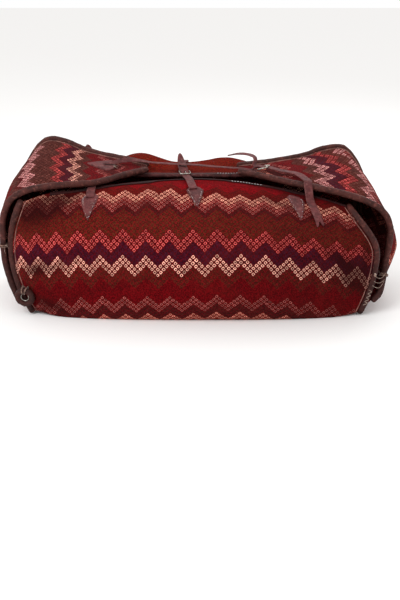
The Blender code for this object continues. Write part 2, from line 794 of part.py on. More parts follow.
def make_pad():
    """The long strap is sewn to an arrow-shaped pad on the left flap."""
    start, y = PAD_INSIDE - HALF_LENGTH, 0.184 * HALF_DEPTH

    def place(u, v):
        half = PAD_WIDTH * shield(v)
        where = (start - v * PAD_LENGTH, y + half * (2 * u - 1))
        return flap_point("left", *where) + vec(0, 0, 2 * GAP)
    sheet("left_flap_pad", "strap_leather", place, 6, 8, PAD_THICKNESS)
    return [flap_point("left", start + d, y) + vec(0, 0, PAD_THICKNESS + 0.0017)
            for d in (-0.030, -0.016, -0.002)]


def piping_at(side, x):
    """The point at x on the axis of a flap's front piping, on its upper run."""
    low, high = 0.4, 1.0
    for _ in range(30):
        t = (low + high) / 2
        if abs(ENDS[side][0](0, t).x) > abs(x):
            low = t
        else:
            high = t
    return ENDS[side][0](0, t)


# The points of the long strap between the flaps, as shares of the bag's half sizes and back height
LONG_STRAP_RUN = ((-0.372, 0.216, 1.0744), (-0.308, 0.236, 1.0804), (-0.254, 0.248, 1.0655),
                  (-0.190, 0.252, 1.0580), (-0.131, 0.248, 1.0521), (-0.082, 0.244, 1.0500),
                  (-0.027, 0.232, 1.0476), (0.054, 0.200, 1.0417), (0.141, 0.156, 1.0387),
                  (0.214, 0.112, 1.0393))


def make_long_strap(start):
    """It joins the two flaps and carries the right buckle, which the torn right strap goes through."""
    x, y = HALF_LENGTH - RIGHT_BUCKLE_INSIDE, 0.072 * HALF_DEPTH
    heel = vec(x, y, flap_point("right", x, y).z + OUTER_WRAP + 0.0046)
    toe = heel + vec(0.90, -0.38, 0.30).normalized() * BUCKLE_LENGTH
    along = (heel - toe).normalized()
    level = vec(-along.y, along.x, 0).normalized()
    frame = buckle_frame(heel, toe, level)
    buckle("right_buckle_frame", frame)
    prong("right_buckle_prong", frame)

    run = [p + vec(0, 0, LEATHER) for p in start]
    run += [vec(px * HALF_LENGTH, py * HALF_DEPTH, pz * BACK_HEIGHT + LEATHER)
            for px, py, pz in LONG_STRAP_RUN]
    run.append(vec(x - 0.021, y + 0.004, heel.z - INNER_WRAP - 0.0030))
    fold = [frame @ vec(px, 0, pz) for px, pz in wrap(0.007)]
    chape(run, fold, "long_strap", frame, vec(0, 1, 0), -level, LONG_STRAP_WIDTH)

    through = [frame @ vec(px, 0, pz) for px, pz in threaded()]
    x = HALF_LENGTH - RIGHT_STRAP_INSIDE
    hanging = [lifted(on_front, x + lean, d, 0.0025)
               for lean, d in ((0.026, 0.120), (0.019, 0.095), (0.010, 0.065), (0.005, 0.047))]
    piping = piping_at("right", x)
    over = [piping + vec(0, -PIPING_RADIUS - 0.009, 0.003), piping + vec(0, -0.006, PIPING_RADIUS + 0.0045),
            piping + vec(-0.002, 0.006, PIPING_RADIUS + 0.0048)]
    over += [flap_point("right", x - back, y) + vec(0, 0, rise)
             for back, y, rise in ((0.022, -0.032, 0.010), (0.046, -0.014, 0.009), (0.072, -0.001, 0.010))]
    tail = [through[-1], frame @ vec(0.012, 0, STRAP_OVER_HEEL + 0.0035)]
    tail += [heel + vec(*step) for step in ((-0.013, 0.024, 0.0230), (-0.031, 0.044, 0.0275),
                                            (-0.058, 0.062, 0.0245), (-0.084, 0.074, 0.0170))]
    lead = resample(hanging + over + through[:1], 0.012)[:-1]
    path = lead + through[:-1] + resample(tail, 0.010)
    directions = []
    for i, point in enumerate(path):
        if i < len(lead):
            ahead = (path[i + 1] - path[max(0, i - 1)]).normalized()
            turn = vec(ahead.y, -ahead.x, 0).normalized()
            directions.append(turn.lerp(-level, max(0, (i - len(lead) + 5) / 5)).normalized())
        else:
            directions.append(-level)
    strap = ribbon("right_strap", "strap_leather", path, directions, STRAP_WIDTH, LEATHER,
                   point_length=0.030)
    thread_hole(strap, "right_prong_hole", frame)


# The corners

def make_corner_ring():
    """A stuffed leather ring with an open metal ring inside it, tied to the left front corner."""
    radius = CORNER_RING_LEATHER / 2
    loop = CORNER_RING_OUTSIDE / 2 - radius
    corner = body(0, share_at(0, False, 0.052))
    middle = corner + vec(0.009, -PIPING_RADIUS - radius - THONG - 8 * GAP, 0.0015)
    across, up = vec(0.99, -0.14, 0).normalized(), vec(0, -0.08, 1).normalized()
    back = up.cross(across).normalized()

    def on_ring(angle, distance):
        return middle + (up * math.cos(angle) + across * math.sin(angle)) * distance
    points = [on_ring(2 * math.pi * i / 20, loop) for i in range(20)]
    tube("corner_loop", "edge_leather", points, radius, closed=True)
    inner = loop - radius - EYELET_WIRE / 2 - 2 * GAP
    free = math.radians(58)
    points = [on_ring(free + (2 * math.pi - 2 * free) * i / 14, inner) for i in range(15)]
    tube("corner_ring", "buckle_metal", points, EYELET_WIRE / 2, resolution=1)

    wound = radius + GAP + THONG / 2 + 0.0003
    spread = 0.40
    points = []
    for i in range(21):
        turn = 4 * math.pi * i / 20 + math.pi / 2
        middle_angle = spread * (i / 10 - 1)
        radial = up * math.cos(middle_angle) + across * math.sin(middle_angle)
        points.append(on_ring(middle_angle, loop) + (back * math.sin(turn) + radial * math.cos(turn)) * wound)
    points.insert(0, points[0] + back * 0.0024 + up * 0.009)
    points.append(points[-1] - back * 0.001 + up * 0.009)
    tube("corner_loop_tie", "thong", points, THONG / 2, resolution=1)


def make_piping_ties():
    """A thong laced twice round the outside of each flap's front piping, with two loose ends."""
    for side, height in (("left", 0.185), ("right", 0.100)):
        place, first = ENDS[side]
        t = first
        while place(0, t).z < height:
            t += 0.002
        middle = place(0, t)
        along = (place(0, t + 0.01) - place(0, t - 0.01)).normalized()
        cloth = place(0.03, t) - middle
        out = -(cloth - along * cloth.dot(along)).normalized()
        across = along.cross(out)
        radius = PIPING_RADIUS + THONG / 2 + 2 * GAP
        pitch = THONG + 3 * GAP
        loose = (out * math.cos(2.2) - across * math.sin(2.2)) * radius * 1.2
        points = [middle + loose - along * (pitch / 2 + 0.007)]
        for row, way in ((-0.5, 1), (0.5, -1)):
            for i in range(11):
                angle = way * (-1.75 + 0.35 * i)
                points.append(middle + (out * math.cos(angle) + across * math.sin(angle)) * radius
                              + along * pitch * row)
        loose = (out * math.cos(1.6) - across * math.sin(1.6)) * radius * 1.6
        points.append(middle + loose + along * (pitch / 2 + 0.008))
        tube(f"{side}_piping_tie", "thong", points, THONG / 2, resolution=1)


def make_patches():
    left, right = LEFT_STRAP_INSIDE - HALF_LENGTH, HALF_LENGTH - RIGHT_PATCH_INSIDE
    patch("front_left_patch", left, 0.043, on_front)
    patch("front_middle_patch", -0.015, 0.062, on_front, lean=0.1)
    patch("front_right_patch", right, 0.038, on_front, lean=0.12)
    for name, x in (("left", left), ("middle", -0.045), ("right", right)):
        patch(f"back_{name}_patch", x, back_length(x) + 0.098, on_back)


def build():
    make_cloths()
    make_side_bindings()
    make_flap_pipings()
    make_mouth_bindings()
    make_patches()
    make_middle_strap()
    make_left_strap()
    make_long_strap(make_pad())
    make_corner_ring()
    make_piping_ties()


for old in list(bpy.data.objects):
    bpy.data.objects.remove(old)

PARTS = bpy.data.collections.new("bedding_bag")
CUTTERS = bpy.data.collections.new("cutters")
bpy.context.scene.collection.children.link(PARTS)
bpy.context.scene.collection.children.link(CUTTERS)

build()
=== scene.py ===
"""A woven bedding bag with leather edges, straps and buckles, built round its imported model.

Metres, +Z up. The bag stands on its flat bottom at the origin, +X along it, its front faces -Y.
"""

import random
from math import asin, cos, exp, pi, radians, sin

import bmesh
import bpy
import numpy as np
from bpy.props import FloatProperty, FloatVectorProperty, PointerProperty
from mathutils import Matrix, Vector, noise


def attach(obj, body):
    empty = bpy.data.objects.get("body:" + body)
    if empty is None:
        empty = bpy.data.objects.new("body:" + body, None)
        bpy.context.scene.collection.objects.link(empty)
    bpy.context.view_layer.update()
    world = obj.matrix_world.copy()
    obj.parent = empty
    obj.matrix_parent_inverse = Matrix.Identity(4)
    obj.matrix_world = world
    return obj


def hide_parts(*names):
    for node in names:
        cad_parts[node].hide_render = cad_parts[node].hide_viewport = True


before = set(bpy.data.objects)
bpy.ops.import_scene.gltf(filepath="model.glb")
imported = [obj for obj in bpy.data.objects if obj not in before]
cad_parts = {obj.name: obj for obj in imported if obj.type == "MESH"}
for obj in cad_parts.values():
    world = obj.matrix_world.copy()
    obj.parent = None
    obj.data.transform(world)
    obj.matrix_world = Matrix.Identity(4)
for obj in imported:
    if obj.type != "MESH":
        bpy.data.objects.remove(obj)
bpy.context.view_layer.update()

bl_info = {
    "name": "Woven bedding bag",
    "version": (1, 0, 0),
    "blender": (4, 5, 0),
    "location": "3D View > Sidebar > Bedding bag",
    "description": "Makes a stuffed woven bag with leather edges, straps and buckles",
    "category": "Add Mesh",
}

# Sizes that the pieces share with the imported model

# Driving sizes of the bag as it stands, stuffed
LENGTH = 1.103
DEPTH = 0.500
BELLY_HEIGHT = 0.165
FRONT_HEIGHT = 0.331
BACK_HEIGHT = 0.336
CLOTH = 0.004
PLAN_SQUARENESS = 2.6
FOOT_SHARE = 0.83
FOOT_SQUARENESS = 3.4

# Sizes of the leather
PIPING_RADIUS = 0.0085
BINDING = 0.002
BINDING_WIDTH = 0.014
LEATHER = 0.0028
STRAP_WIDTH = 0.022
PATCH_WIDTH = 0.044
PATCH_LENGTH = 0.088
PAD_WIDTH = 0.080
PAD_LENGTH = 0.076
PAD_THICKNESS = 0.005
LONG_STRAP_WIDTH = 0.015

# Sizes of the metal
BUCKLE_BAR = 0.0038
BUCKLE_LENGTH = 0.026
PRONG_WIRE = 0.0024
HOLE = 0.0064

# Corner pieces
THONG = 0.0036
CORNER_RING_OUTSIDE = 0.055
CORNER_RING_LEATHER = 0.015
EYELET_WIRE = 0.0024

# Air between pieces that touch
GAP = 0.0003

# How far the side straps, the side patches, the pad and the right buckle stand inside the ends
LEFT_STRAP_INSIDE = 0.2645
RIGHT_STRAP_INSIDE = 0.2675
RIGHT_PATCH_INSIDE = 0.3025
PAD_INSIDE = 0.3145
RIGHT_BUCKLE_INSIDE = 0.3885

HALF_LENGTH = LENGTH / 2
HALF_DEPTH = DEPTH / 2
SEAT = PIPING_RADIUS + 3 * GAP

# Each side's place across the body cloth, and the way along x to its end of the bag
SIDES = {"left": (0, -1), "right": (1, 1)}

# Where the body cloth's side edges stand, and how far they draw in at the mouth and the bottom
LEFT_EDGE = -HALF_LENGTH + 0.049
RIGHT_EDGE = HALF_LENGTH - 0.086
MOUTH_DRAW = {"left": 0.035, "right": 0.072}
BOTTOM_DRAW = {"left": 0.048, "right": 0.034}
BACK_DRAW = {"left": 0.075, "right": 0.090}


def vec(*values):
    return Vector(values)


def bump(x, middle, width):
    """A round bump of height 1."""
    return exp(-((x - middle) / width) ** 2)


def mix(a, b, share):
    return a + (b - a) * share


# The curves that run through given points

def smooth(points, knots=None):
    """A function of 0..1 for the smooth curve through points, spaced by their distances."""
    if knots is None:
        knots = [0.0]
        for a, b in zip(points, points[1:]):
            knots.append(knots[-1] + (b - a).length)
    last = len(points) - 1
    slopes = []
    for i in range(last + 1):
        low, high = max(i - 1, 0), min(i + 1, last)
        slopes.append((points[high] - points[low]) / (knots[high] - knots[low]))

    def at(share):
        where = share * knots[-1]
        i = 0
        while i < last - 1 and where > knots[i + 1]:
            i += 1
        span = knots[i + 1] - knots[i]
        t = (where - knots[i]) / span
        return ((2 * t ** 3 - 3 * t ** 2 + 1) * points[i] + (t ** 3 - 2 * t ** 2 + t) * span * slopes[i]
                + (3 * t ** 2 - 2 * t ** 3) * points[i + 1] + (t ** 3 - t ** 2) * span * slopes[i + 1])
    return at


def resample(points, step):
    """Points about step apart on the smooth curve through the given ones."""
    curve = smooth(points)
    fine = [curve(i / 400) for i in range(401)]
    lengths = [0.0]
    for a, b in zip(fine, fine[1:]):
        lengths.append(lengths[-1] + (b - a).length)
    count = max(2, round(lengths[-1] / step))
    result, i = [], 0
    for k in range(count + 1):
        want = lengths[-1] * k / count
        while i < 399 and lengths[i + 1] < want:
            i += 1
        share = (want - lengths[i]) / (lengths[i + 1] - lengths[i])
        result.append(fine[i].lerp(fine[i + 1], min(1, share)))
    return result


# The body cloth: its section across the bag at any x

def plan(x, power):
    """How full the bag is at x, from 1 in the middle to 0 past its ends."""
    return (1 - min(1, abs(x) / (HALF_LENGTH + 0.003)) ** power) ** (1 / power)


def belly(x):
    return HALF_DEPTH * plan(x, PLAN_SQUARENESS)


def foot(x):
    """Half the width that the bag stands on at x."""
    return FOOT_SHARE * HALF_DEPTH * plan(x, FOOT_SQUARENESS)


def lift(x):
    """The bottom curls up towards the two ends."""
    return (PIPING_RADIUS + 0.002) * min(1, max(0, (abs(x) - 0.35) / 0.08)) ** 2


def front_mouth(x):
    side, drop, power = (LEFT_EDGE, 0.035, 2.5) if x < 0 else (RIGHT_EDGE, 0.066, 1.9)
    y = -0.016 - 0.100 * abs(x / 0.40) ** 1.5
    z = FRONT_HEIGHT - drop * (x / side) ** power + 0.008 * bump(x, -0.40, 0.05)
    return y, z


def back_ridge(x):
    """The back's top rises in two soft bumps between the straps and in an ear at each corner."""
    rise = (0.029 * bump(x, -0.172, 0.067) + 0.016 * bump(x, 0.070, 0.065) - 0.012 * bump(x, 0.20, 0.05)
            + 0.018 * bump(x, -HALF_LENGTH + 0.10, 0.085) + 0.004 * bump(x, HALF_LENGTH - 0.13, 0.085))
    return 0.60 * belly(x), BACK_HEIGHT + rise


def back_mouth(x):
    y = back_ridge(x)[0] * (0.23 + 0.40 * (x / 0.50) ** 2)
    return y, BACK_HEIGHT - 0.006


def lip(x, t):
    """The height of the back's top, from its ridge (0) to its edge (1)."""
    return mix(back_ridge(x)[1], back_mouth(x)[1], 0.5 - 0.5 * cos(pi * min(1, t / 0.7)))


def dents(x, share):
    """Soft hollows and swells of the stuffed cloth, as a push outwards."""
    swells = 0.0
    for middle, row, wide, tall, amount in (
            (-0.40, 0.11, 0.07, 0.040, -0.007), (-0.30, 0.16, 0.09, 0.030, 0.005),
            (-0.12, 0.07, 0.05, 0.030, -0.003), (0.33, 0.13, 0.06, 0.050, -0.005),
            (0.12, 0.20, 0.14, 0.060, 0.005), (-0.22, 0.30, 0.12, 0.040, -0.003),
            (0.20, 0.86, 0.12, 0.060, -0.005), (-0.16, 0.82, 0.10, 0.060, 0.005)):
        swells += amount * bump(x, middle, wide) * bump(share, row, tall)
    return swells


# The sections of the cloth's length: front top, front foot, bottom, back foot, back top, lip
BREAKS = (0.0, 0.255, 0.375, 0.615, 0.735, 0.915, 1.0)


def section(x, share):
    """The y and z of the outer side of the body cloth, from its front edge (0) to its back edge (1)."""
    part = max(i for i in range(6) if share >= BREAKS[i] or i == 0)
    t = (share - BREAKS[part]) / (BREAKS[part + 1] - BREAKS[part])
    y_foot, y_belly, bottom = foot(x), belly(x) + dents(x, share), lift(x)
    turn = pi / 2 * t
    if part == 0:
        y, z = front_mouth(x)
        top = z + 0.3 * dents(x, share)
        return mix(y, -y_belly, sin(turn)), mix(BELLY_HEIGHT, top, cos(turn))
    if part == 1:
        return mix(-y_foot, -y_belly, cos(turn)), mix(BELLY_HEIGHT, bottom, sin(turn))
    if part == 2:
        return mix(-y_foot, y_foot, t), bottom
    if part == 3:
        return mix(y_foot, y_belly, sin(turn)), mix(bottom, BELLY_HEIGHT, 1 - cos(turn))
    y_ridge, z_ridge = back_ridge(x)
    if part == 4:
        return mix(y_ridge, y_belly, cos(turn)), mix(BELLY_HEIGHT, z_ridge, sin(turn))
    return mix(y_ridge, back_mouth(x)[0], t), lip(x, t)


def edge(side, share):
    """The x of a side edge of the body cloth."""
    where, inward = (LEFT_EDGE, 1) if side == "left" else (RIGHT_EDGE, -1)

    def turn(part):
        return pi / 2 * (share - BREAKS[part]) / (BREAKS[part + 1] - BREAKS[part])
    if share < BREAKS[1]:
        draw = MOUTH_DRAW[side] * cos(turn(0)) ** 2
    elif share < BREAKS[2]:
        draw = BOTTOM_DRAW[side] * sin(turn(1)) ** 2
    elif share < BREAKS[3]:
        draw = BOTTOM_DRAW[side]
    elif share < BREAKS[4]:
        draw = BOTTOM_DRAW[side] * cos(turn(3)) ** 2
    else:
        draw = BACK_DRAW[side] * ((share - BREAKS[4]) / (1 - BREAKS[4])) ** 2
    return where + inward * draw


def body(u, share):
    """A point on the body cloth's outer side: u runs from the left side binding to the right one."""
    x = mix(edge("left", share), edge("right", share), u)
    y, z = section(x, share)
    return vec(x, y, z)


def inset(place, distance, corner, inward, along):
    """How far inward, as a share, a distance straight in from an edge of place(u, v) reaches."""
    if not distance:
        return 0
    step = 0.01
    here = place(*corner)
    across = place(corner[0] + step * inward[0], corner[1] + step * inward[1]) - here
    rim = (place(corner[0] + step * along[0], corner[1] + step * along[1]) - here).normalized()
    across -= rim * across.dot(rim)
    return distance * step / across.length


def trimmed_row(place, u, v, trim):
    """The row of a sheet whose first and last edges stop the given distances short, at v of the way."""
    side = (1 if u < 0.5 else -1, 0)
    low = inset(place, trim[0], (u, 0), (0, 1), side)
    high = 1 - inset(place, trim[1], (u, 1), (0, -1), side)
    return mix(low, high, v)


def trimmed(place, u, v, trim_u, trim_v=(0, 0)):
    """place(u, v) on a sheet whose edges stop the given distances short of its frame."""
    v = trimmed_row(place, u, v, trim_v)
    side = (0, 1 if v < 0.5 else -1)
    low = inset(place, trim_u[0], (0, v), (1, 0), side)
    high = inset(place, trim_u[1], (1, v), (-1, 0), side)
    return place(mix(low, 1 - high, u), v)


STRIDE = 0.002


def on_body(x, distance, share, way):
    """The point at x on the body cloth, a distance along it from share, towards its back or its front."""
    run, step = 0.0, STRIDE * way
    here = vec(x, *section(x, share))
    while run < distance:
        share += step
        there = vec(x, *section(x, share))
        run += (there - here).length
        here = there
    return here


def on_front(x, distance):
    """The point at x on the front, at a distance down the cloth from its top edge."""
    return on_body(x, distance, 0.0, 1)


def on_back(x, distance):
    """The point at x on the back, at a distance from its top edge, over the ridge and down."""
    return on_body(x, distance, 1.0, -1)


def back_top(x, y):
    """The height of the back's top at x and y."""
    ridge, mouth = back_ridge(x)[0], back_mouth(x)[0]
    return lip(x, min(1, max(0, (ridge - y) / (ridge - mouth))))


# The end cloths. Three lines shape each one: its front edge, its middle and its back edge. Low down
# the two edges run beside the body cloth's side edges. Higher up each station gives how far the
# line stands inside the bag's end, its y as a share of the half depth, and its height as a share
# of the back's height.

LOW = {"left": {"front": ((0.042, 0.001), (0.095, 0.003), (0.150, 0.006)),
                "back": ((0.042, 0.001), (0.095, 0.001), (0.150, 0.001), (0.225, 0.002), (0.290, 0.005))},
       "right": {"front": ((0.042, 0.001), (0.070, 0.016)),
                 "back": ((0.042, 0.001), (0.080, 0.001), (0.145, 0.001), (0.210, 0.002), (0.275, 0.006))}}

LEFT_MIDDLE = ((0.050, 0, 0.1726), (0.014, 0, 0.3274), (0.0004, 0, 0.4911), (0.002, 0, 0.6607),
               (0.017, 0, 0.8482), (0.046, 0, 0.9881), (0.100, 0, 1.0923), (0.160, 0.04, 1.1012),
               (0.220, 0.08, 1.0655), (0.280, 0.12, 1.0476), (0.345, 0.20, 1.0446),
               (0.402, 0.22, 1.0357))
LEFT_FRONT = ((0.031, -0.570, 0.6310), (0.037, -0.560, 0.7976), (0.058, -0.556, 0.9167),
              (0.096, -0.540, 0.9851), (0.150, -0.470, 1.0089), (0.215, -0.402, 1.0140),
              (0.275, -0.318, 1.0095), (0.345, -0.094, 1.0290), (0.402, 0.120, 1.0327))
LEFT_BACK = ((0.070, 0.664, 1.0774), (0.112, 0.652, 1.1964), (0.165, 0.632, 1.1815),
             (0.222, 0.604, 1.1161), (0.285, 0.545, 1.0774), (0.345, 0.430, 1.0625),
             (0.402, 0.320, 1.0417))

RIGHT_MIDDLE = ((0.064, 0, 0.1637), (0.034, 0, 0.2679), (0.004, 0, 0.4464), (0.017, 0, 0.5952),
                (0.049, 0, 0.7738), (0.080, 0, 0.9226), (0.121, 0, 1.0179), (0.165, 0.03, 1.0446),
                (0.226, 0.06, 1.0387), (0.296, 0.10, 1.0298), (0.370, 0.15, 1.0268),
                (0.442, 0.18, 1.0298))
RIGHT_FRONT = ((0.050, -0.500, 0.4167), (0.044, -0.480, 0.5655), (0.047, -0.470, 0.7024),
               (0.072, -0.480, 0.8214), (0.120, -0.490, 0.9018), (0.172, -0.464, 0.9464),
               (0.232, -0.400, 0.9792), (0.300, -0.284, 0.9970), (0.370, -0.110, 1.0149),
               (0.442, 0.050, 1.0268))
RIGHT_BACK = ((0.100, 0.650, 1.0119), (0.140, 0.645, 1.1310), (0.192, 0.622, 1.1250),
              (0.245, 0.580, 1.0774), (0.305, 0.520, 1.0506), (0.370, 0.420, 1.0387),
              (0.442, 0.310, 1.0357))


HALVINGS = 30


def turning_point(low, high, before):
    """The number from low to high up to which before(number) is true."""
    for _ in range(HALVINGS):
        middle = (low + high) / 2
        if before(middle):
            low = middle
        else:
            high = middle
    return middle


def share_at(u, back, height):
    """The place along a side edge of the body cloth that is at a height."""
    low, high = (BREAKS[5], BREAKS[3]) if back else (0.0, BREAKS[2])
    return turning_point(low, high, lambda share: body(u, share).z > height)


def beside(side, back, height, gap):
    """The axis of a flap's piping at a height, beside the body cloth's side binding."""
    u, sign = SIDES[side]
    share = share_at(u, back, height)
    along = (body(u, share + 0.005) - body(u, share - 0.005)).normalized()
    aside = vec(sign, -0.35 if back else 0.35, 0)
    aside = (aside - along * aside.dot(along)).normalized()
    return body(u, share) + aside * (2 * PIPING_RADIUS + GAP + gap)


def end_lines(side):
    """The front, middle and back line of an end cloth, from the bottom to the flap's tip."""
    u, sign = SIDES[side]
    stations = ((LEFT_FRONT, LEFT_MIDDLE, LEFT_BACK) if side == "left"
                else (RIGHT_FRONT, RIGHT_MIDDLE, RIGHT_BACK))
    placed = [[vec(sign * (HALF_LENGTH - x), y * HALF_DEPTH, z * BACK_HEIGHT) for x, y, z in line]
              for line in stations]
    corner = body(u, BREAKS[2])
    front = [corner] + [beside(side, False, z, gap) for z, gap in LOW[side]["front"]] + placed[0]
    middle = [vec(corner.x, 0, corner.z)] + placed[1]
    back = [body(u, BREAKS[3])]
    back += [beside(side, True, z, gap) for z, gap in LOW[side]["back"]] + placed[2]
    return front, middle, back


def strip(side):
    """A function of u, t for an end cloth: u from front edge to back edge, t from bottom to tip."""
    lines = end_lines(side)
    knots = [0.0]
    for a, b in zip(lines[1], lines[1][1:]):
        knots.append(knots[-1] + (b - a).length)
    front, middle, back = (smooth(line, knots) for line in lines)
    first = knots[1] / knots[-1]

    def at(u, t):
        f, m, b = front(t), middle(t), back(t)
        return (1 - u) * (1 - 2 * u) * f + 4 * u * (1 - u) * m + u * (2 * u - 1) * b
    return at, first


ENDS = {side: strip(side) for side in SIDES}


def flap_point(side, x, y):
    """The point on the outer side of a flap above x and y."""
    place = ENDS[side][0]
    u, t, step = 0.5, 0.75, STRIDE
    for _ in range(12):
        here = place(u, t)
        by_u, by_t = (place(u + step, t) - here) / step, (place(u, t + step) - here) / step
        turn = by_u.x * by_t.y - by_u.y * by_t.x
        dx, dy = x - here.x, y - here.y
        u = min(1.2, max(-0.2, u + (dx * by_t.y - dy * by_t.x) / turn))
        t = min(1, max(0.45, t + (by_u.x * dy - by_u.y * dx) / turn))
    return place(u, t)


def piping_share(side, height):
    """How far up an end cloth its front edge reaches a height."""
    place, t = ENDS[side]
    while place(0, t).z < height:
        t += STRIDE
    return t


# Surfaces kept as arrays of points: rows, by columns, by x y z

FACETS = 2
FINENESS = 3
COLUMNS = 26
ROWS = (9, 5, 6, 5, 6, 4)
END_ROWS = 22
END_COLUMNS = 10
SURFACES = {}


def row_share(v):
    """The place along the body cloth of a row of its grid, with as many rows as each stretch needs."""
    row = v * sum(ROWS)
    for i, count in enumerate(ROWS):
        if row <= count or i == len(ROWS) - 1:
            return mix(BREAKS[i], BREAKS[i + 1], row / count)
        row -= count


def sample(place, columns, rows):
    return np.array([[tuple(place(j / columns, i / rows)) for j in range(columns + 1)]
                     for i in range(rows + 1)])


def refine(points, times, axis=0):
    """More points on the smooth curves through the given ones."""
    known = np.moveaxis(np.asarray(points, float), axis, 0)
    padded = np.concatenate([2 * known[:1] - known[1:2], known, 2 * known[-1:] - known[-2:-1]])
    made = []
    for i in range(len(known) - 1):
        a, b, c, d = padded[i:i + 4]
        for k in range(times):
            t = k / times
            made.append(b + 0.5 * t * (c - a + t * (2 * a - 5 * b + 4 * c - d
                                                    + t * (3 * b - a - 3 * c + d))))
    made.append(known[-1])
    return np.moveaxis(np.array(made), 0, axis)


def travelled(points, axis):
    """How far each point lies along its row or column."""
    steps = np.linalg.norm(np.diff(points, axis=axis), axis=-1)
    start = np.zeros_like(np.take(steps, [0], axis=axis))
    return np.concatenate([start, np.cumsum(steps, axis=axis)], axis=axis)


def unit(vectors):
    return vectors / np.maximum(np.linalg.norm(vectors, axis=-1, keepdims=True), 1e-12)


def away(points, sign=1):
    """The outward direction at each point of a surface."""
    return sign * unit(np.cross(np.gradient(points, axis=0), np.gradient(points, axis=1)))


def folds(across, down, lines):
    """The height of soft folds along straight lines drawn on a cloth, given its two coordinates."""
    height = np.zeros_like(across)
    for a, b, c, d, width, rise in lines:
        run = np.array((c - a, d - b))
        t = np.clip(((across - a) * run[0] + (down - b) * run[1]) / (run @ run), 0, 1)
        away_from = np.hypot(across - a - t * run[0], down - b - t * run[1])
        along = 0.35 + 0.65 * np.sin(pi * (0.1 + 0.8 * t))
        height += rise * np.exp(-(away_from / width) ** 2) * along
    return height


def roughen(points, size, height, seed=0):
    """Slow unevenness, as a height at each point."""
    shift = Vector((seed * 7.3, seed * 3.1, seed * 5.7))
    heights = [noise.noise(Vector(p) / size + shift) for p in points.reshape(-1, 3)]
    return np.array(heights).reshape(points.shape[:-1]) * height


def linked(name, data):
    """A new object in the scene."""
    thing = bpy.data.objects.new(name, data)
    bpy.context.scene.collection.objects.link(thing)
    return thing


def build_mesh(name, vertices, faces, uv, look, soil=None):
    """A smooth closed mesh, with uv for each corner of each face and the painted shade on each point."""
    mesh = bpy.data.meshes.new(name)
    mesh.from_pydata(np.asarray(vertices).tolist(), [], faces)
    layer = mesh.uv_layers.new(name="lay")
    layer.data.foreach_set("uv", np.asarray(uv, np.float32).ravel())
    if soil is not None:
        kept = mesh.attributes.new("soil", "FLOAT", "POINT")
        kept.data.foreach_set("value", np.asarray(soil, np.float32).ravel())
    bm = bmesh.new()
    bm.from_mesh(mesh)
    bmesh.ops.delete(bm, geom=[v for v in bm.verts if not v.link_faces], context="VERTS")
    bmesh.ops.recalc_face_normals(bm, faces=bm.faces)
    bm.to_mesh(mesh)
    bm.free()
    mesh.shade_smooth()
    mesh.materials.append(finish(look))
    return linked(name, mesh)


def shell(name, outer, inner, uv, look, kept=None, soil=None):
    """A sheet between two surfaces of like grids, with walls round its edge and round cells left out."""
    rows, columns = outer.shape[:2]
    count = rows * columns
    ids = np.arange(count).reshape(rows, columns)
    if kept is None:
        kept = np.ones((rows - 1, columns - 1), bool)
    faces = []
    for i, j in zip(*(k.tolist() for k in np.nonzero(kept))):
        a, b, c, d = (int(ids[k]) for k in ((i, j), (i, j + 1), (i + 1, j + 1), (i + 1, j)))
        faces += [(a, b, c, d), (d + count, c + count, b + count, a + count)]
        for p, q, bare in ((b, a, i == 0 or not kept[i - 1, j]),
                           (d, c, i == rows - 2 or not kept[i + 1, j]),
                           (a, d, j == 0 or not kept[i, j - 1]),
                           (c, b, j == columns - 2 or not kept[i, j + 1])):
            if bare:
                faces.append((p, q, q + count, p + count))
    corners = np.concatenate([uv.reshape(-1, 2)] * 2)[np.array(faces).ravel()]
    vertices = np.concatenate([outer.reshape(-1, 3), inner.reshape(-1, 3)])
    painted_shade_both_sides = None if soil is None else np.concatenate([soil.ravel()] * 2)
    return build_mesh(name, vertices, faces, corners, look, painted_shade_both_sides)


def frames(path, closed):
    """Two directions square to the path at each of its points, turning as little as they can."""
    steps = np.roll(path, -1, axis=0) - np.roll(path, 1, axis=0) if closed else np.gradient(path, axis=0)
    ahead = unit(steps)
    side = np.cross(ahead[0], (0, 0, 1) if abs(ahead[0][2]) < 0.9 else (1, 0, 0))
    sides = []
    for direction in ahead:
        side = unit(side - direction * (side @ direction))
        sides.append(side)
    sides = np.array(sides)
    return ahead, sides, np.cross(ahead, sides)


# The rounded ends of a rod: how far out each ring lies and how wide it is, as shares of the radius
CAP_REACH = 0.7
CAP_RINGS = ((0.35, 0.94), (0.75, 0.66), (0.97, 0.24))


def rod(name, path, radius, look, sides, closed=False, lumps=0.0, lump_size=0.02, seed=0):
    """A round rod or rolled edge with round ends, whose thickness wavers by a share lumps."""
    path = np.asarray(path, float)
    ahead, across, up = frames(path, closed)
    distance = travelled(path[None], 1)[0]
    angles = 2 * pi * np.arange(sides) / sides
    ring = across[:, None] * np.cos(angles)[None, :, None] + up[:, None] * np.sin(angles)[None, :, None]
    thick = np.broadcast_to(np.asarray(radius, float).reshape(-1, 1), (len(path), 1))

    def around(thick):
        return path[:, None] + ring * thick[..., None]
    surface = around(thick)
    if lumps:
        surface = around(thick * (1 + lumps * (0.45 - np.abs(roughen(surface, lump_size, 2.0, seed)))))
    if not closed:
        first, last = ([path[end] + way * ahead[end] * thick[end] * CAP_REACH * out
                        + (surface[end] - path[end]) * wide for out, wide in CAP_RINGS]
                       for end, way in ((0, -1), (-1, 1)))
        surface = np.concatenate([first[::-1], surface, last])
        distance = np.concatenate([distance[:1]] * 3 + [distance] + [distance[-1:]] * 3)
    return sweep(name, surface, distance, 2 * pi * float(thick.mean()), look, closed)


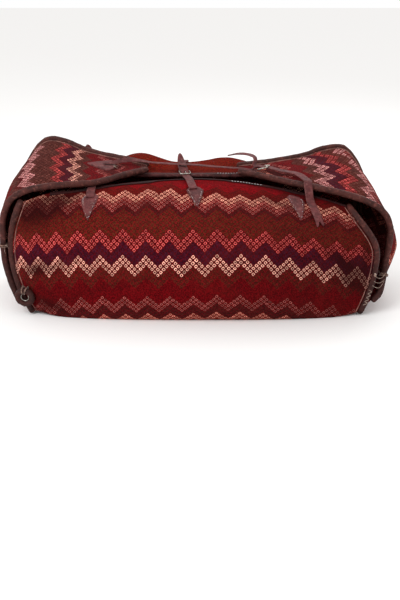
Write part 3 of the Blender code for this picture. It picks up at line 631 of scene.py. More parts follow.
def sweep(name, surface, distance, girth, look, closed):
    """A mesh whose rows are closed rings."""
    rows, sides = surface.shape[:2]
    faces, uv = [], []
    for i in range(rows if closed else rows - 1):
        below = (i + 1) % rows
        low, high = distance[i], distance[i + 1] if i + 1 < rows else distance[i] + distance[1]
        for j in range(sides):
            right = (j + 1) % sides
            faces.append((i * sides + j, i * sides + right, below * sides + right, below * sides + j))
            left_u, right_u = girth * j / sides, girth * (j + 1) / sides
            uv += [(left_u, low), (right_u, low), (right_u, high), (left_u, high)]
    if not closed:
        for i, order in ((0, range(sides - 1, -1, -1)), (rows - 1, range(sides))):
            faces.append([i * sides + j for j in order])
            uv += [(girth * j / sides, distance[i]) for j in order]
    return build_mesh(name, surface.reshape(-1, 3), faces, uv, look)


def open_hole(points, kept, place, half_length, radius):
    """Takes out the cells of a sheet in a round or long hole, and draws the rest up to its edge.

    place is the hole's frame: x along it and z through the sheet. Returns how far each point moves.
    """
    turn = np.array(place.to_3x3())
    local = (points - np.array(place.translation)) @ turn
    along = np.clip(local[..., 0], -half_length, half_length)
    offset = np.stack([local[..., 0] - along, local[..., 1]], axis=-1)
    gap = np.where(np.abs(local[..., 2]) < 0.02, np.linalg.norm(offset, axis=-1), 1.0)
    kept &= (gap[:-1, :-1] + gap[1:, :-1] + gap[:-1, 1:] + gap[1:, 1:]) / 4 > radius
    used, dropped = np.zeros(gap.shape, bool), np.zeros(gap.shape, bool)
    for i, j in ((0, 0), (0, 1), (1, 0), (1, 1)):
        block = (slice(i, i + kept.shape[0]), slice(j, j + kept.shape[1]))
        used[block] |= kept
        dropped[block] |= ~kept
    border = used & dropped & (gap < 4 * radius)
    reach = np.where(border, radius / np.maximum(gap, 1e-6) - 1, 0)[..., None]
    flat = np.concatenate([offset * reach, np.zeros_like(reach)], axis=-1)
    return flat @ turn.T


STRAP_CELLS = 12
STRAP_FINENESS = 4
STRAP_WAVE = 0.0006
TORN_LENGTH = 0.012


def strap(name, path, across, width, taper=0.0, holes=(), torn=None, split=None):
    """A leather strap with soft edges. Its path runs along the middle of its under side.

    across gives its width's direction at each point of the path. It may end in a point or in a torn
    edge, given as a length for each of its columns, and begin in a split one, given the same way.
    Each hole is a frame, a half length and a radius.
    """
    path = fine_line(path, STRAP_FINENESS)
    if isinstance(across, list):
        sides = fine_line(across, STRAP_FINENESS)
    else:
        sides = np.broadcast_to(np.array(tuple(across), float), path.shape)
    distance = travelled(path[None], 1)[0]
    ahead = unit(np.gradient(path, axis=0))
    sides = unit(sides - ahead * (sides * ahead).sum(1, keepdims=True))
    up = np.cross(sides, ahead)
    u = np.linspace(-1, 1, STRAP_CELLS + 1)
    half = np.full(len(path), width / 2)
    if taper:
        left = distance[-1] - distance
        share = np.clip(1 - left / taper, 0, 1)
        half *= np.where(left < taper, np.minimum(1, 0.16 + 0.84 * np.sqrt(1 - share)), 1)
    half = half * (1 - 0.05 * np.abs(np.array([noise.noise((d / 0.03, width, 0)) for d in distance])))
    under = path[:, None] + sides[:, None] * (half[:, None] * u)[..., None]

    def ragged(lengths, fade):
        """How far each point moves along the strap for a ragged end."""
        reach = np.interp(u, np.linspace(-1, 1, len(lengths)), lengths)
        return ahead[:, None] * (np.clip(fade, 0, 1)[:, None] * reach)[..., None]
    if torn is not None:
        under = under + ragged(torn, (distance - distance[-1] + TORN_LENGTH) / TORN_LENGTH)
    if split is not None:
        under = under + ragged(split, 1 - distance / (max(split) * 1.6))
    under = under + up[:, None] * roughen(under, 0.02, STRAP_WAVE, 3)[..., None]
    half_thick = (LEATHER / 2 * (0.35 + 0.65 * np.sqrt(1 - np.abs(u) ** 8)))[None, :, None]
    middle = under + up[:, None] * LEATHER / 2
    kept = np.ones((len(path) - 1, STRAP_CELLS), bool)
    for place, half_length, radius in holes:
        middle = middle + open_hole(middle, kept, place, half_length, radius)
    uv = np.stack(np.broadcast_arrays((u + 1) / 2 * width, distance[:, None]), axis=2)
    return shell(name, middle + up[:, None] * half_thick, middle - up[:, None] * half_thick, uv,
                 "strap_leather", kept)


def fine_line(points, times=3):
    """An even, finer run of points along a path."""
    return refine(np.array([tuple(p) for p in points]), times)


def place_finished(thing, nodes):
    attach(thing, "root")
    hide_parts(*nodes)
    return thing


# The cloths

BODY_FOLDS = (
    (-0.455, 0.245, -0.330, 0.330, 0.012, 0.0022), (-0.450, 0.215, -0.360, 0.235, 0.016, -0.0028),
    (-0.440, 0.285, -0.350, 0.365, 0.010, -0.0020), (-0.430, 0.030, -0.330, 0.045, 0.022, -0.0040),
    (-0.300, 0.020, -0.210, 0.050, 0.014, 0.0012), (0.120, 0.040, 0.240, 0.070, 0.012, 0.0014),
    (0.140, 0.075, 0.300, 0.110, 0.016, -0.0018), (0.300, 0.020, 0.400, 0.060, 0.014, 0.0016),
    (0.330, 0.210, 0.430, 0.240, 0.018, -0.0026), (0.350, 0.270, 0.440, 0.290, 0.014, 0.0016),
    (-0.100, 0.020, 0.060, 0.030, 0.012, -0.0010), (-0.200, 0.120, -0.050, 0.110, 0.030, -0.0012))


# How far the cloths' side edges reach into the rolled edges, so that no light shows between
TUCKED_IN = 0.0022

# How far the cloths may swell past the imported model
BODY_SWELL, END_SWELL = 0.0016, 0.0012


def from_sides(points):
    """How far each point lies from the nearer side edge."""
    return np.minimum(travelled(points, 1), travelled(points[:, ::-1], 1)[:, ::-1])


def creased(points, out, calm, height):
    """A cloth moved out by a height where it isn't calm, its side edges drawn into the rolled edges."""
    points = points + out * (calm * height)[..., None]
    for last, before in ((0, 1), (-1, -2)):
        points[:, last] += unit(points[:, last] - points[:, before]) * TUCKED_IN
    return points


def fine_surface(place, columns, rows):
    coarse = sample(place, FACETS * columns, FACETS * rows)
    return refine(refine(coarse, FINENESS, 0), FINENESS, 1)


def body_surface():
    if "body" not in SURFACES:
        points = fine_surface(lambda u, v: trimmed(body, u, row_share(v), (SEAT, SEAT)), COLUMNS, sum(ROWS))
        down = travelled(points, 0)
        edges = np.minimum(down, down[-1] - down) / 0.02
        low = (points[..., 2] - 0.012) / 0.03
        calm = np.clip(edges, 0, 1) * np.clip(from_sides(points) / 0.03, 0, 1) * np.clip(low, 0, 1)
        height = folds(points[..., 0], down, BODY_FOLDS) + roughen(points, 0.085, 0.0030)
        height = height + roughen(points, 0.03, 0.0010, 2)
        SURFACES["body"] = creased(points, away(points), calm, np.minimum(height, BODY_SWELL))
    return SURFACES["body"]


# Patches of painted shade on the body cloth, the first in the hollow at its upper left: x, how far down, how
# wide, how tall and how much
SHADE_PATCHES = ((-0.408, 0.066, 0.070, 0.042, 1.00), (-0.455, 0.030, 0.030, 0.030, 0.60),
          (0.400, 0.265, 0.050, 0.026, 0.80), (0.435, 0.190, 0.018, 0.070, 0.50),
          (-0.440, 0.215, 0.030, 0.030, 0.50), (0.250, 0.020, 0.120, 0.012, 0.50),
          (-0.320, 0.022, 0.090, 0.012, 0.50), (-0.150, 0.330, 0.300, 0.012, 0.25),
          (-0.430, 0.310, 0.120, 0.050, 0.40))


def body_painted_shade(points):
    """How much painted shade darkens the body cloth at each point, from 0 to 1: in its folds, towards its
    right end and in its patches.
    """
    x, down = points[..., 0], travelled(points, 0)
    # Painted shade in the hollows of the folds
    soil = np.clip(-folds(x, down, BODY_FOLDS) / 0.004, 0, 0.6)
    # Painted shade growing towards the right end
    soil += 0.36 * np.clip((x + 0.02) / 0.30, 0, 1)
    # Painted shade in the patches
    for middle_x, middle, wide, tall, amount in SHADE_PATCHES:
        soil += amount * np.exp(-((x - middle_x) / wide) ** 2 - ((down - middle) / tall) ** 2)
    return np.clip(soil, 0, 1)


def end_surface(side):
    if side not in SURFACES:
        place, outward = ENDS[side][0], -SIDES[side][1]
        points = fine_surface(lambda u, t: trimmed(place, u, t, (SEAT, SEAT), (SEAT, 0)),
                              END_COLUMNS, END_ROWS)
        calm = np.clip(from_sides(points) / 0.03, 0, 1) * np.clip(travelled(points, 0) / 0.03, 0, 1)
        height = roughen(points, 0.07, 0.0040, 5 + outward) + roughen(points, 0.03, 0.0012, 8)
        SURFACES[side] = creased(points, away(points, outward), calm, np.minimum(height, END_SWELL))
    return SURFACES[side]


# How far below the top of the pale zigzags the pink ones lie
PINK_HEIGHT = 0.066


def evened(down):
    """How far down each point lies, with the bottom as wide everywhere as it is in its middle."""
    front, back = (int(round((len(down) - 1) * sum(ROWS[:k]) / sum(ROWS))) for k in (2, 3))
    wide = down[back] - down[front]
    middle = wide[len(wide) // 2]
    even = down.copy()
    even[front:back] = down[front] + (down[front:back] - down[front]) * middle / wide
    even[back:] = down[back:] + middle - wide
    return even


def body_pattern(points, weave):
    """Where each point of the body cloth lies in the pattern, in its columns and rows.

    The zigzags' points and the bands' heights are as the photo shows them across the front.
    """
    belly_row = int(len(points) * sum(ROWS[:1]) / sum(ROWS))
    line = points[belly_row]
    run = travelled(line[None], 1)[0]
    run -= np.interp(0, line[:, 0], run)
    across = np.interp(points[..., 0], line[:, 0], run) + weave.column_shift
    period = np.arange(-14, 15)
    columns = np.interp(across, weave.period * period + weave.widening * period ** 2, 8.0 * period)
    x = points[..., 0]
    pale = 0.2912 - np.where(x < 0, 0.347 * np.abs(x) ** 1.42, 0.2562 * np.abs(x) ** 1.55)
    down = evened(travelled(points, 0)) - pale
    top = (0.203 + 0.016 * np.exp(-((x + 0.11) / 0.06) ** 2)
           - 0.010 * np.exp(-((x - 0.10) / 0.05) ** 2))
    below = np.interp(down, (0.0, 0.114, 0.168, 0.30, 1.50), (0, 14, 22, 42, 238))
    above = 8 * down / PINK_HEIGHT
    upper = -8 - 18 * (-down - PINK_HEIGHT) / (top - PINK_HEIGHT)
    rows = np.where(down > 0, below, np.where(down > -PINK_HEIGHT, above, upper))
    return np.stack([columns, rows], axis=2)


# Each end's pattern: where the pale band crosses it, how askew, its row, its column, its first column
END_PATTERN = {"left": (-0.364, 0.15, 0.0056, 0.0074, 0.027), "right": (0.359, 0.27, 0.0075, 0.0080, 0.022)}


def end_pattern(points, side):
    """The same for an end cloth, whose bands lie across it."""
    start, slope, row_step, column_step, shift = END_PATTERN[side]
    middle = points.shape[1] // 2
    across = travelled(points, 1)
    across = across - across[:, middle:middle + 1]
    down = travelled(points, 0) - end_start(side, start) - slope * across
    return np.stack([(across - shift) / column_step, down / row_step], axis=2)


def end_start(side, x):
    """How far up the middle of an end cloth its flap reaches x."""
    points = end_surface(side)
    middle = points[:, points.shape[1] // 2]
    run = travelled(middle[None], 1)[0]
    top = len(middle) // 2
    way = -SIDES[side][1]
    return float(np.interp(way * x, way * middle[top:, 0], run[top:]))


# What repeats along a seam

def seam_path(name, points, out):
    """A line of edges for a row of stitches, with the outward direction kept on it."""
    mesh = bpy.data.meshes.new(name)
    mesh.from_pydata([tuple(p) for p in points], [(i, i + 1) for i in range(len(points) - 1)], [])
    kept = mesh.attributes.new("away", "FLOAT_VECTOR", "POINT")
    kept.data.foreach_set("vector", np.asarray(out, np.float32).ravel())
    return linked(name, mesh)


def give(tree, socket, value):
    """Sets a node's input to a value, or links it to another node's output."""
    if isinstance(value, bpy.types.NodeSocket):
        tree.links.new(value, socket)
    else:
        socket.default_value = value


def new_node(tree, kind, inputs=(), **settings):
    made = tree.nodes.new(kind)
    for key, value in settings.items():
        setattr(made, key, value)
    for key, value in dict(inputs).items():
        give(tree, made.inputs[key], value)
    return made


# Each number that a row of stitches is given, and what it is when none is
STITCH_INPUTS = {"Step": 0.0075, "Length": 0.0036, "Thickness": 0.0009, "Unevenness": 0.25, "Kept": 1.0}


def stitch_tree():
    """Stitches at even steps along a line: short bent threads that lie on the leather."""
    known = bpy.data.node_groups.get("Row of stitches")
    if known:
        return known
    tree = bpy.data.node_groups.new("Row of stitches", "GeometryNodeTree")
    face = tree.interface
    face.new_socket("Geometry", in_out="INPUT", socket_type="NodeSocketGeometry")
    for label, default in STITCH_INPUTS.items():
        made = face.new_socket(label, in_out="INPUT", socket_type="NodeSocketFloat")
        made.default_value = default
    face.new_socket("Seed", in_out="INPUT", socket_type="NodeSocketInt")
    face.new_socket("Material", in_out="INPUT", socket_type="NodeSocketMaterial")
    face.new_socket("Geometry", in_out="OUTPUT", socket_type="NodeSocketGeometry")
    given = tree.nodes.new("NodeGroupInput").outputs

    def add(kind, inputs=(), output=0, **settings):
        return new_node(tree, kind, inputs, **settings).outputs[output]

    def times(value, factor):
        return add("ShaderNodeMath", {0: value, 1: factor}, operation="MULTIPLY")

    line = add("GeometryNodeMeshToCurve", {0: given["Geometry"]})
    steps = add("GeometryNodeResampleCurve", {"Curve": line, "Length": given["Step"]}, mode="LENGTH")
    half = times(given["Length"], 0.5)
    bend = add("GeometryNodeCurveQuadraticBezier", {
        "Resolution": 4, "Start": add("ShaderNodeCombineXYZ", {0: times(half, -1.0)}),
        "Middle": add("ShaderNodeCombineXYZ", {2: given["Thickness"]}),
        "End": add("ShaderNodeCombineXYZ", {0: half})})
    round_one = add("GeometryNodeCurvePrimitiveCircle", {
        "Resolution": 6, "Radius": times(given["Thickness"], 0.5)})
    thread = add("GeometryNodeCurveToMesh", {"Curve": bend, "Profile Curve": round_one, "Fill Caps": True})

    out = add("GeometryNodeInputNamedAttribute", {"Name": "away"}, data_type="FLOAT_VECTOR")
    upright = add("FunctionNodeAlignRotationToVector", {"Vector": out}, axis="Z")
    along = add("FunctionNodeAlignRotationToVector", {
        "Rotation": upright, "Vector": add("GeometryNodeInputTangent")}, axis="X", pivot_axis="Z")
    lean = add("FunctionNodeRandomValue", {2: times(given["Unevenness"], -1.0), 3: given["Unevenness"],
                                           "Seed": given["Seed"]}, 1, data_type="FLOAT")
    turn = add("FunctionNodeAxisAngleToRotation", {"Axis": (0, 0, 1), "Angle": lean})
    turned = add("FunctionNodeRotateRotation", {"Rotation": along, "Rotate By": turn}, rotation_space="LOCAL")
    size = add("FunctionNodeRandomValue", {2: 0.85, 3: 1.15, "Seed": given["Seed"]}, 1, data_type="FLOAT")
    lasting = add("FunctionNodeRandomValue", {"Probability": given["Kept"], "Seed": given["Seed"]}, 3,
                  data_type="BOOLEAN")
    placed = add("GeometryNodeInstanceOnPoints", {"Points": steps, "Instance": thread, "Rotation": turned,
                                                  "Scale": size, "Selection": lasting})
    real = add("GeometryNodeRealizeInstances", {0: placed})
    coloured = add("GeometryNodeSetMaterial", {"Geometry": real, "Material": given["Material"]})
    new_node(tree, "NodeGroupOutput", {0: coloured})
    return tree


def grow(thing, tree, values):
    """Runs a tree of nodes on an object and keeps the result as its plain mesh."""
    modifier = thing.modifiers.new(tree.name, "NODES")
    modifier.node_group = tree
    for item in tree.interface.items_tree:
        if item.in_out == "INPUT" and item.name in values:
            modifier[item.identifier] = values[item.name]
    thing.update_tag()
    settled = thing.evaluated_get(bpy.context.evaluated_depsgraph_get())
    made = bpy.data.meshes.new_from_object(settled)
    thing.modifiers.clear()
    old = thing.data
    thing.data = made
    bpy.data.meshes.remove(old)
    made.name = thing.name
    return thing


def stitches(name, rows, look, numbers):
    """One piece with a row of stitches along each of the given lines."""
    made = []
    for i, (points, out) in enumerate(rows):
        values = {**STITCH_INPUTS, **numbers, "Seed": i + 11, "Material": finish(look)}
        made.append(grow(seam_path(f"{name}_{i}", points, out), stitch_tree(), values))
    return place_finished(joined(name, made), ())


def joined(name, things):
    bm = bmesh.new()
    for thing in things:
        bm.from_mesh(thing.data)
    mesh = bpy.data.meshes.new(name)
    bm.to_mesh(mesh)
    bm.free()
    mesh.materials.append(things[0].data.materials[0])
    mesh.shade_smooth()
    for thing in things:
        bpy.data.objects.remove(thing)
    return linked(name, mesh)


# The pieces made from the cloths' surfaces

def make_cloth(node, points, outward, pattern, look, soil=None):
    made = shell(f"{node}_woven", points, points - away(points, outward) * CLOTH, pattern, look, soil=soil)
    return place_finished(made, [node])


def make_body_cloth(weave):
    points = body_surface()
    return make_cloth("body_cloth", points, 1, body_pattern(points, weave), "body_wool", body_painted_shade(points))


def make_end_cloth(side):
    points = end_surface(side)
    return make_cloth(f"{side}_end_cloth", points, -SIDES[side][1], end_pattern(points, side), f"{side}_wool")


def rolled_edge(node, path, lumps, seed):
    """Leather rolled round the edge of a cloth."""
    made = rod(f"{node}_rolled", fine_line(path), PIPING_RADIUS, "edge_leather", 18, lumps=lumps,
               seed=seed)
    return place_finished(made, [node])


def make_side_binding(side):
    u, rows = SIDES[side][0], FACETS * sum(ROWS)
    path = [body(u, row_share(i / rows)) for i in range(rows + 1)]
    rolled_edge(f"{side}_side_binding", path, 0.10, u + 1)


def make_flap_piping(side, edge):
    place, first = ENDS[side]
    u = 0 if edge == "front" else 1
    rows = [trimmed_row(place, u, i / END_ROWS, (SEAT, 0)) for i in range(END_ROWS + 1)]
    rolled_edge(f"{side}_flap_{edge}_piping", [place(u, t) for t in rows if t >= first], 0.12, 3 + u)


GUSSET_THICKNESS = 0.0016
GUSSET_ROWS = 60


def make_gusset(side):
    """Leather inside a back corner, from the side binding to the flap's back piping."""
    place, first = ENDS[side]
    u = SIDES[side][0]
    top = body(u, BREAKS[5])
    rows = []
    for i in range(GUSSET_ROWS + 1):
        outside = place(1, mix(first, 0.75, i / GUSSET_ROWS))
        if outside.z > top.z + 0.014:
            break
        inside = body(u, share_at(u, True, min(outside.z, top.z)))
        rows.append([tuple(inside.lerp(outside, k / 4)) for k in range(5)])
    points = np.array(rows)
    lay = np.stack([travelled(points, 1), travelled(points, 0)], axis=2)
    made = shell(f"{side}_back_gusset", points, points - away(points) * GUSSET_THICKNESS, lay,
                 "edge_leather")
    place_finished(made, ())


WELT = 0.0030


def make_welts():
    """The thin edge of leather that shows beside each rolled edge, on the cloth's side of it; its pale colour
    is a painted highlight along the rolled edge.
    """
    made = []

    def add(name, points, out, rows, share, rise, radius):
        for column, inward in ((0, 2), (-1, -3)):
            line = points[rows, column] * (1 - share) + points[rows, inward] * share
            line = line + out[rows, column] * rise
            made.append(rod(f"{name}_{column}", line, radius, "welt", 8, lumps=0.5, lump_size=0.012,
                            seed=len(made) + 4))
    for side, (_, sign) in SIDES.items():
        points = end_surface(side)
        add(f"{side}_welt", points, away(points, -sign), slice(int(len(points) * 0.30), None), 0.65, 0.0006,
            WELT / 2)
    points = body_surface()
    last = int(len(points) * sum(ROWS[:2]) / sum(ROWS))
    add("body_welt", points, away(points), slice(6, last), 0.5, 0.0004, WELT * 0.4)
    place_finished(joined("edge_welts", made), ())


# The middle and half length of the stretch where the front binding has worn narrow, and where the
# bindings still have their stitches
FRONT_BINDING_WORN = (-0.022, 0.110)
STITCHED = {"front": (0.085, 0.165), "back": (0.045, 0.115)}

# Where a binding's points lie across it, as shares of its width, and how thick it is there
BINDING_ROWS = ((1.0, 0.35), (0.97, 1.0), (0.6, 1.0), (0.3, 1.0), (0.0, 1.0))


def make_mouth_binding(which):
    """Leather folded over one of the mouth's edges, and the line where its stitches are left."""
    points = body_surface() if which == "front" else body_surface()[::-1]
    points = points[:, int(round(2 / COLUMNS * (points.shape[1] - 1))):]
    near, facing = points[:14], away(points, 1 if which == "front" else -1)[:14]
    reach = travelled(near, 0)
    worn = np.ones(near.shape[1])
    if which == "front":
        from_worn = np.abs(near[0, :, 0] - FRONT_BINDING_WORN[0]) - FRONT_BINDING_WORN[1]
        worn -= 0.62 * np.clip(-from_worn / 0.02, 0, 1)

    def across(values):
        return np.stack([[[np.interp(BINDING_WIDTH * share * worn[j], reach[:, j], values[:, j, k])
                           for k in range(3)] for share, _ in BINDING_ROWS] for j in range(near.shape[1])])
    band, normal = across(near), unit(across(facing))
    up = unit(near[0] - near[3])
    clear = 3 * GAP
    middle = near[0] - facing[0] * CLOTH / 2
    fold = CLOTH / 2 + clear
    inner, outer = [], []
    for k, (_, thick) in enumerate(BINDING_ROWS):
        inner.append(band[:, k] + normal[:, k] * clear)
        outer.append(band[:, k] + normal[:, k] * (clear + BINDING * thick))
    for angle in (25, 55, 90, 125, 155):
        turn = radians(angle)
        side = facing[0] * cos(turn) + up * sin(turn)
        inner.append(middle + side * fold)
        outer.append(middle + side * (fold + BINDING))
    for k, (_, thick) in reversed(list(enumerate(BINDING_ROWS))):
        under = band[:, k] - normal[:, k] * CLOTH
        inner.append(under - normal[:, k] * clear)
        outer.append(under - normal[:, k] * (clear + BINDING * thick))
    inner, outer = np.stack(inner, axis=1), np.stack(outer, axis=1)
    uv = np.stack([travelled(outer, 1), travelled(outer, 0)], axis=2)
    leather = "binding_leather" if which == "front" else "back_leather"
    made = shell(f"{which}_mouth_binding_folded", outer, inner, uv, leather)
    place_finished(made, [f"{which}_mouth_binding"])
    top = band[:, 2] + normal[:, 2] * (clear + BINDING + 0.0002)
    seen = (top[:, 0] > STITCHED[which][0]) & (top[:, 0] < STITCHED[which][1])
    return top[seen], normal[seen, 2]


PATCH_ROWS = 24
PATCH_COLUMNS = 10


def make_patch(name, x, start, surface, lean):
    """An arrow-shaped patch sewn on the front or the back, with the line for its stitches."""
    out = -1 if surface is on_front else 1

    def place(u, v):
        distance = start + v * PATCH_LENGTH
        across = x + lean * v * PATCH_LENGTH + PATCH_WIDTH * shield(v) * (2 * u - 1)
        down = surface(across, distance + 0.004) - surface(across, max(0, distance - 0.004))
        normal = down.cross(vec(1, 0, 0)).normalized() * out * -1
        return tuple(surface(across, distance) + normal * GAP) + tuple(normal)
    both = sample(place, PATCH_COLUMNS, PATCH_ROWS)
    points, normal = both[..., :3], unit(both[..., 3:])
    if normal[0, 0] @ (0, out, 0.3) < 0:
        normal = -normal
    edge = np.abs(np.linspace(-1, 1, PATCH_COLUMNS + 1))
    half_thick = (LEATHER / 2 * np.sqrt(1 - np.minimum(edge, 0.999) ** 10))[None, :, None]
    curl = 0.0012 * edge ** 6 * np.clip(np.linspace(-0.4, 1, PATCH_ROWS + 1), 0, 1)[:, None]
    middle = points + normal * (LEATHER / 2 + curl)[..., None]
    outer = middle + normal * half_thick
    uv = np.stack([from_edges(travelled(points, 1)), travelled(points, 0)], axis=2)
    made = shell(f"{name}_leather", outer, middle - normal * half_thick, uv, "strap_leather")
    place_finished(made, [name])
    inward = 0.12
    sewn = slice(1, PATCH_ROWS - 1)
    left = outer[sewn] * (1 - inward) + outer[sewn, ::-1] * inward
    line = np.concatenate([left[:, 0], left[::-1, -1]])
    facing = np.concatenate([normal[sewn, 0], normal[sewn][::-1, -1]])
    return line + facing * 0.0012, facing


def from_edges(across):
    """Turns how far each point lies across a wide patch into the same distance from a strap's edge."""
    wide = across[:, -1:]
    return np.where(across < wide / 2, np.minimum(across, STRAP_WIDTH / 2),
                    np.maximum(STRAP_WIDTH - (wide - across), STRAP_WIDTH / 2))


def shield(share):
    """Half the width of an arrow-shaped patch along its length: shoulders, then a long point."""
    if share < 0.16:
        return mix(0.30, 0.50, share / 0.16)
    return 0.5 * (1 - ((share - 0.16) / 0.84) ** 1.35) + 0.012


# Each patch: its x, how far down from the edge it starts, its side and how far it leans
LEFT_PATCH_AT, RIGHT_PATCH_AT = LEFT_STRAP_INSIDE - HALF_LENGTH, HALF_LENGTH - RIGHT_PATCH_INSIDE
PATCHES = {
    "front_left_patch": (LEFT_PATCH_AT, 0.043, "front", 0.0),
    "front_middle_patch": (-0.015, 0.062, "front", 0.1),
    "front_right_patch": (RIGHT_PATCH_AT, 0.038, "front", 0.12),
    "back_left_patch": (LEFT_PATCH_AT, 0.098, "back", 0.0),
    "back_middle_patch": (-0.045, 0.098, "back", 0.0),
    "back_right_patch": (RIGHT_PATCH_AT, 0.098, "back", 0.0)}


# The buckles. In a buckle's own frame x runs from its toe bar to its heel bar, y across the strap
# and z up; its origin is on the heel bar.

BAR = BUCKLE_BAR / 2
WIRE = PRONG_WIRE / 2
INNER_WRAP = BAR + GAP
OUTER_WRAP = INNER_WRAP + LEATHER
STRAP_UNDER_TOE = BAR + GAP + LEATHER
STRAP_OVER_HEEL = OUTER_WRAP + GAP
THREAD_ANGLE = asin((STRAP_OVER_HEEL + STRAP_UNDER_TOE) / BUCKLE_LENGTH)
PRONG_HOLE = (-0.0132, 0, 0.0012)
ON_CLOTH = LEATHER + 4 * GAP


def buckle_frame(heel, toe, across):
    along = (heel - toe).normalized()
    side = (across - along * across.dot(along)).normalized()
    up = along.cross(side)
    turn = Matrix((along, side, up)).transposed().to_4x4()
    return Matrix.Translation(heel) @ turn


def threaded():
    """The under side of a strap that passes under the toe bar and over the heel bar, in x and z."""
    def toe(angle, clear=0.0):
        return (STRAP_UNDER_TOE * sin(angle) - BUCKLE_LENGTH, -STRAP_UNDER_TOE * cos(angle) - clear)

    def heel(angle, clear=0.0):
        return (-STRAP_OVER_HEEL * sin(angle), STRAP_OVER_HEEL * cos(angle) + clear)
    half = THREAD_ANGLE / 2
    between = mix(-STRAP_UNDER_TOE, STRAP_OVER_HEEL, 0.5) * cos(THREAD_ANGLE)
    return [(-BUCKLE_LENGTH - 0.006, -STRAP_UNDER_TOE), toe(0, 0.0002), toe(half, 0.0001), toe(THREAD_ANGLE),
            (-BUCKLE_LENGTH / 2, between), heel(THREAD_ANGLE), heel(half, 0.0003),
            (0.0004, STRAP_OVER_HEEL + 0.0004)]


def make_buckle(which, frame_at):
    """The bent wire frame and the prong looped round its heel bar."""
    half, corner = STRAP_WIDTH / 2 + 0.0012 + BAR, 0.004
    points = []
    for x, y, start in ((corner - BUCKLE_LENGTH, half - corner, 90),
                        (corner - BUCKLE_LENGTH, corner - half, 180),
                        (-corner, corner - half, 270), (-corner, half - corner, 0)):
        for step in range(7):
            angle = radians(start + 15 * step)
            points.append(frame_at @ vec(x + corner * cos(angle), y + corner * sin(angle), 0))
    wire = rod(f"{which}_buckle_frame_wire", [tuple(p) for p in points], BAR, "buckle_metal", 14, closed=True)
    place_finished(wire, [f"{which}_buckle_frame"])
    points = []
    for step in range(10):
        angle = radians(160 - 30 * step)
        points.append(vec(cos(angle), 0, sin(angle)) * (INNER_WRAP + WIRE))
    rest = BAR + GAP + WIRE
    points += [vec(-0.0085, 0, -0.0012), vec(-0.0132, 0, 0.0014), vec(-0.0178, 0, 0.0044),
               vec(-BUCKLE_LENGTH, 0, rest + 0.0001), vec(-BUCKLE_LENGTH - 0.003, 0, rest - 0.0004)]
    path = fine_line((frame_at @ p for p in points), 2)
    thickness = np.interp(np.arange(len(path)), (0, len(path) - 9, len(path) - 1), (WIRE, WIRE, WIRE * 0.75))
    made = rod(f"{which}_buckle_prong_wire", path, thickness, "buckle_metal", 10)
    place_finished(made, [f"{which}_buckle_prong"])


def in_frame(frame_at, line):
    """Points of a buckle's own frame, given in x and z, as they stand."""
    return [frame_at @ vec(x, 0, z) for x, z in line]


def wrap(tail):
    """The under layer, the fold round the heel bar and the top layer of a chape, in x and z."""
    turns = [radians(270 - 30 * step) for step in range(7)]
    return [(tail, -INNER_WRAP), *((INNER_WRAP * cos(a), INNER_WRAP * sin(a)) for a in turns),
            (0.020, INNER_WRAP)]


def lifted(surface, x, distance, height):
    """A point a height above the front or the back, at a distance from its top edge."""
    here = surface(x, distance)
    along = (surface(x, distance + 0.01) - here).normalized()
    normal = along.cross(vec(1, 0, 0)).normalized()
    if surface is on_front:
        normal = -normal
    return here - normal * height


def back_length(x):
    """The length of cloth from the back's top edge to its ridge."""
    distance = 0.0
    while on_back(x, distance).y < back_ridge(x)[0] - 0.001:
        distance += STRIDE
    return distance


def prong_hole(frame_at):
    """The hole that a strap's prong comes up through."""
    return frame_at @ Matrix.Translation(PRONG_HOLE) @ Matrix.Rotation(-THREAD_ANGLE, 4, "Y"), 0.0, HOLE / 2


def place_strap(node, path, across, width, **ends):
    place_finished(strap(f"{node}_leather", path, across, width, **ends), [node])


# How far apart the points of a strap's path are
STEP = 0.012
WIDE_STEP = 0.014


def make_chape(run, fold, node, begin, across, width, frame_at, twist=None):
    """A strap that folds round the heel bar, with a slot in the fold for the prong.

    A twist is how far its back edge rises, how far from its start it does so and over what length.
    """
    lead = resample(run + fold[:1], WIDE_STEP)[:-1]
    turning = [begin.lerp(across, min(1, 1.3 * i / len(lead))).normalized() for i in range(len(lead))]
    if twist:
        angle, middle, reach = twist
        for i in range(len(lead)):
            tilt = angle * bump(WIDE_STEP * i, middle, reach)
            turning[i] = turning[i] * cos(tilt) + vec(0, 0, 1) * sin(tilt)
            lead[i] = lead[i] + vec(0, 0, width / 2 * sin(tilt))
    slot = PRONG_WIRE / 2 + 0.0012
    low, high = -0.012 + slot, OUTER_WRAP + 0.0035 - slot
    middle = frame_at @ Matrix.Translation(((low + high) / 2, 0, 0))
    place_strap(node, lead + fold, turning + [across] * len(fold), width,
                holes=((middle, (high - low) / 2, slot),))


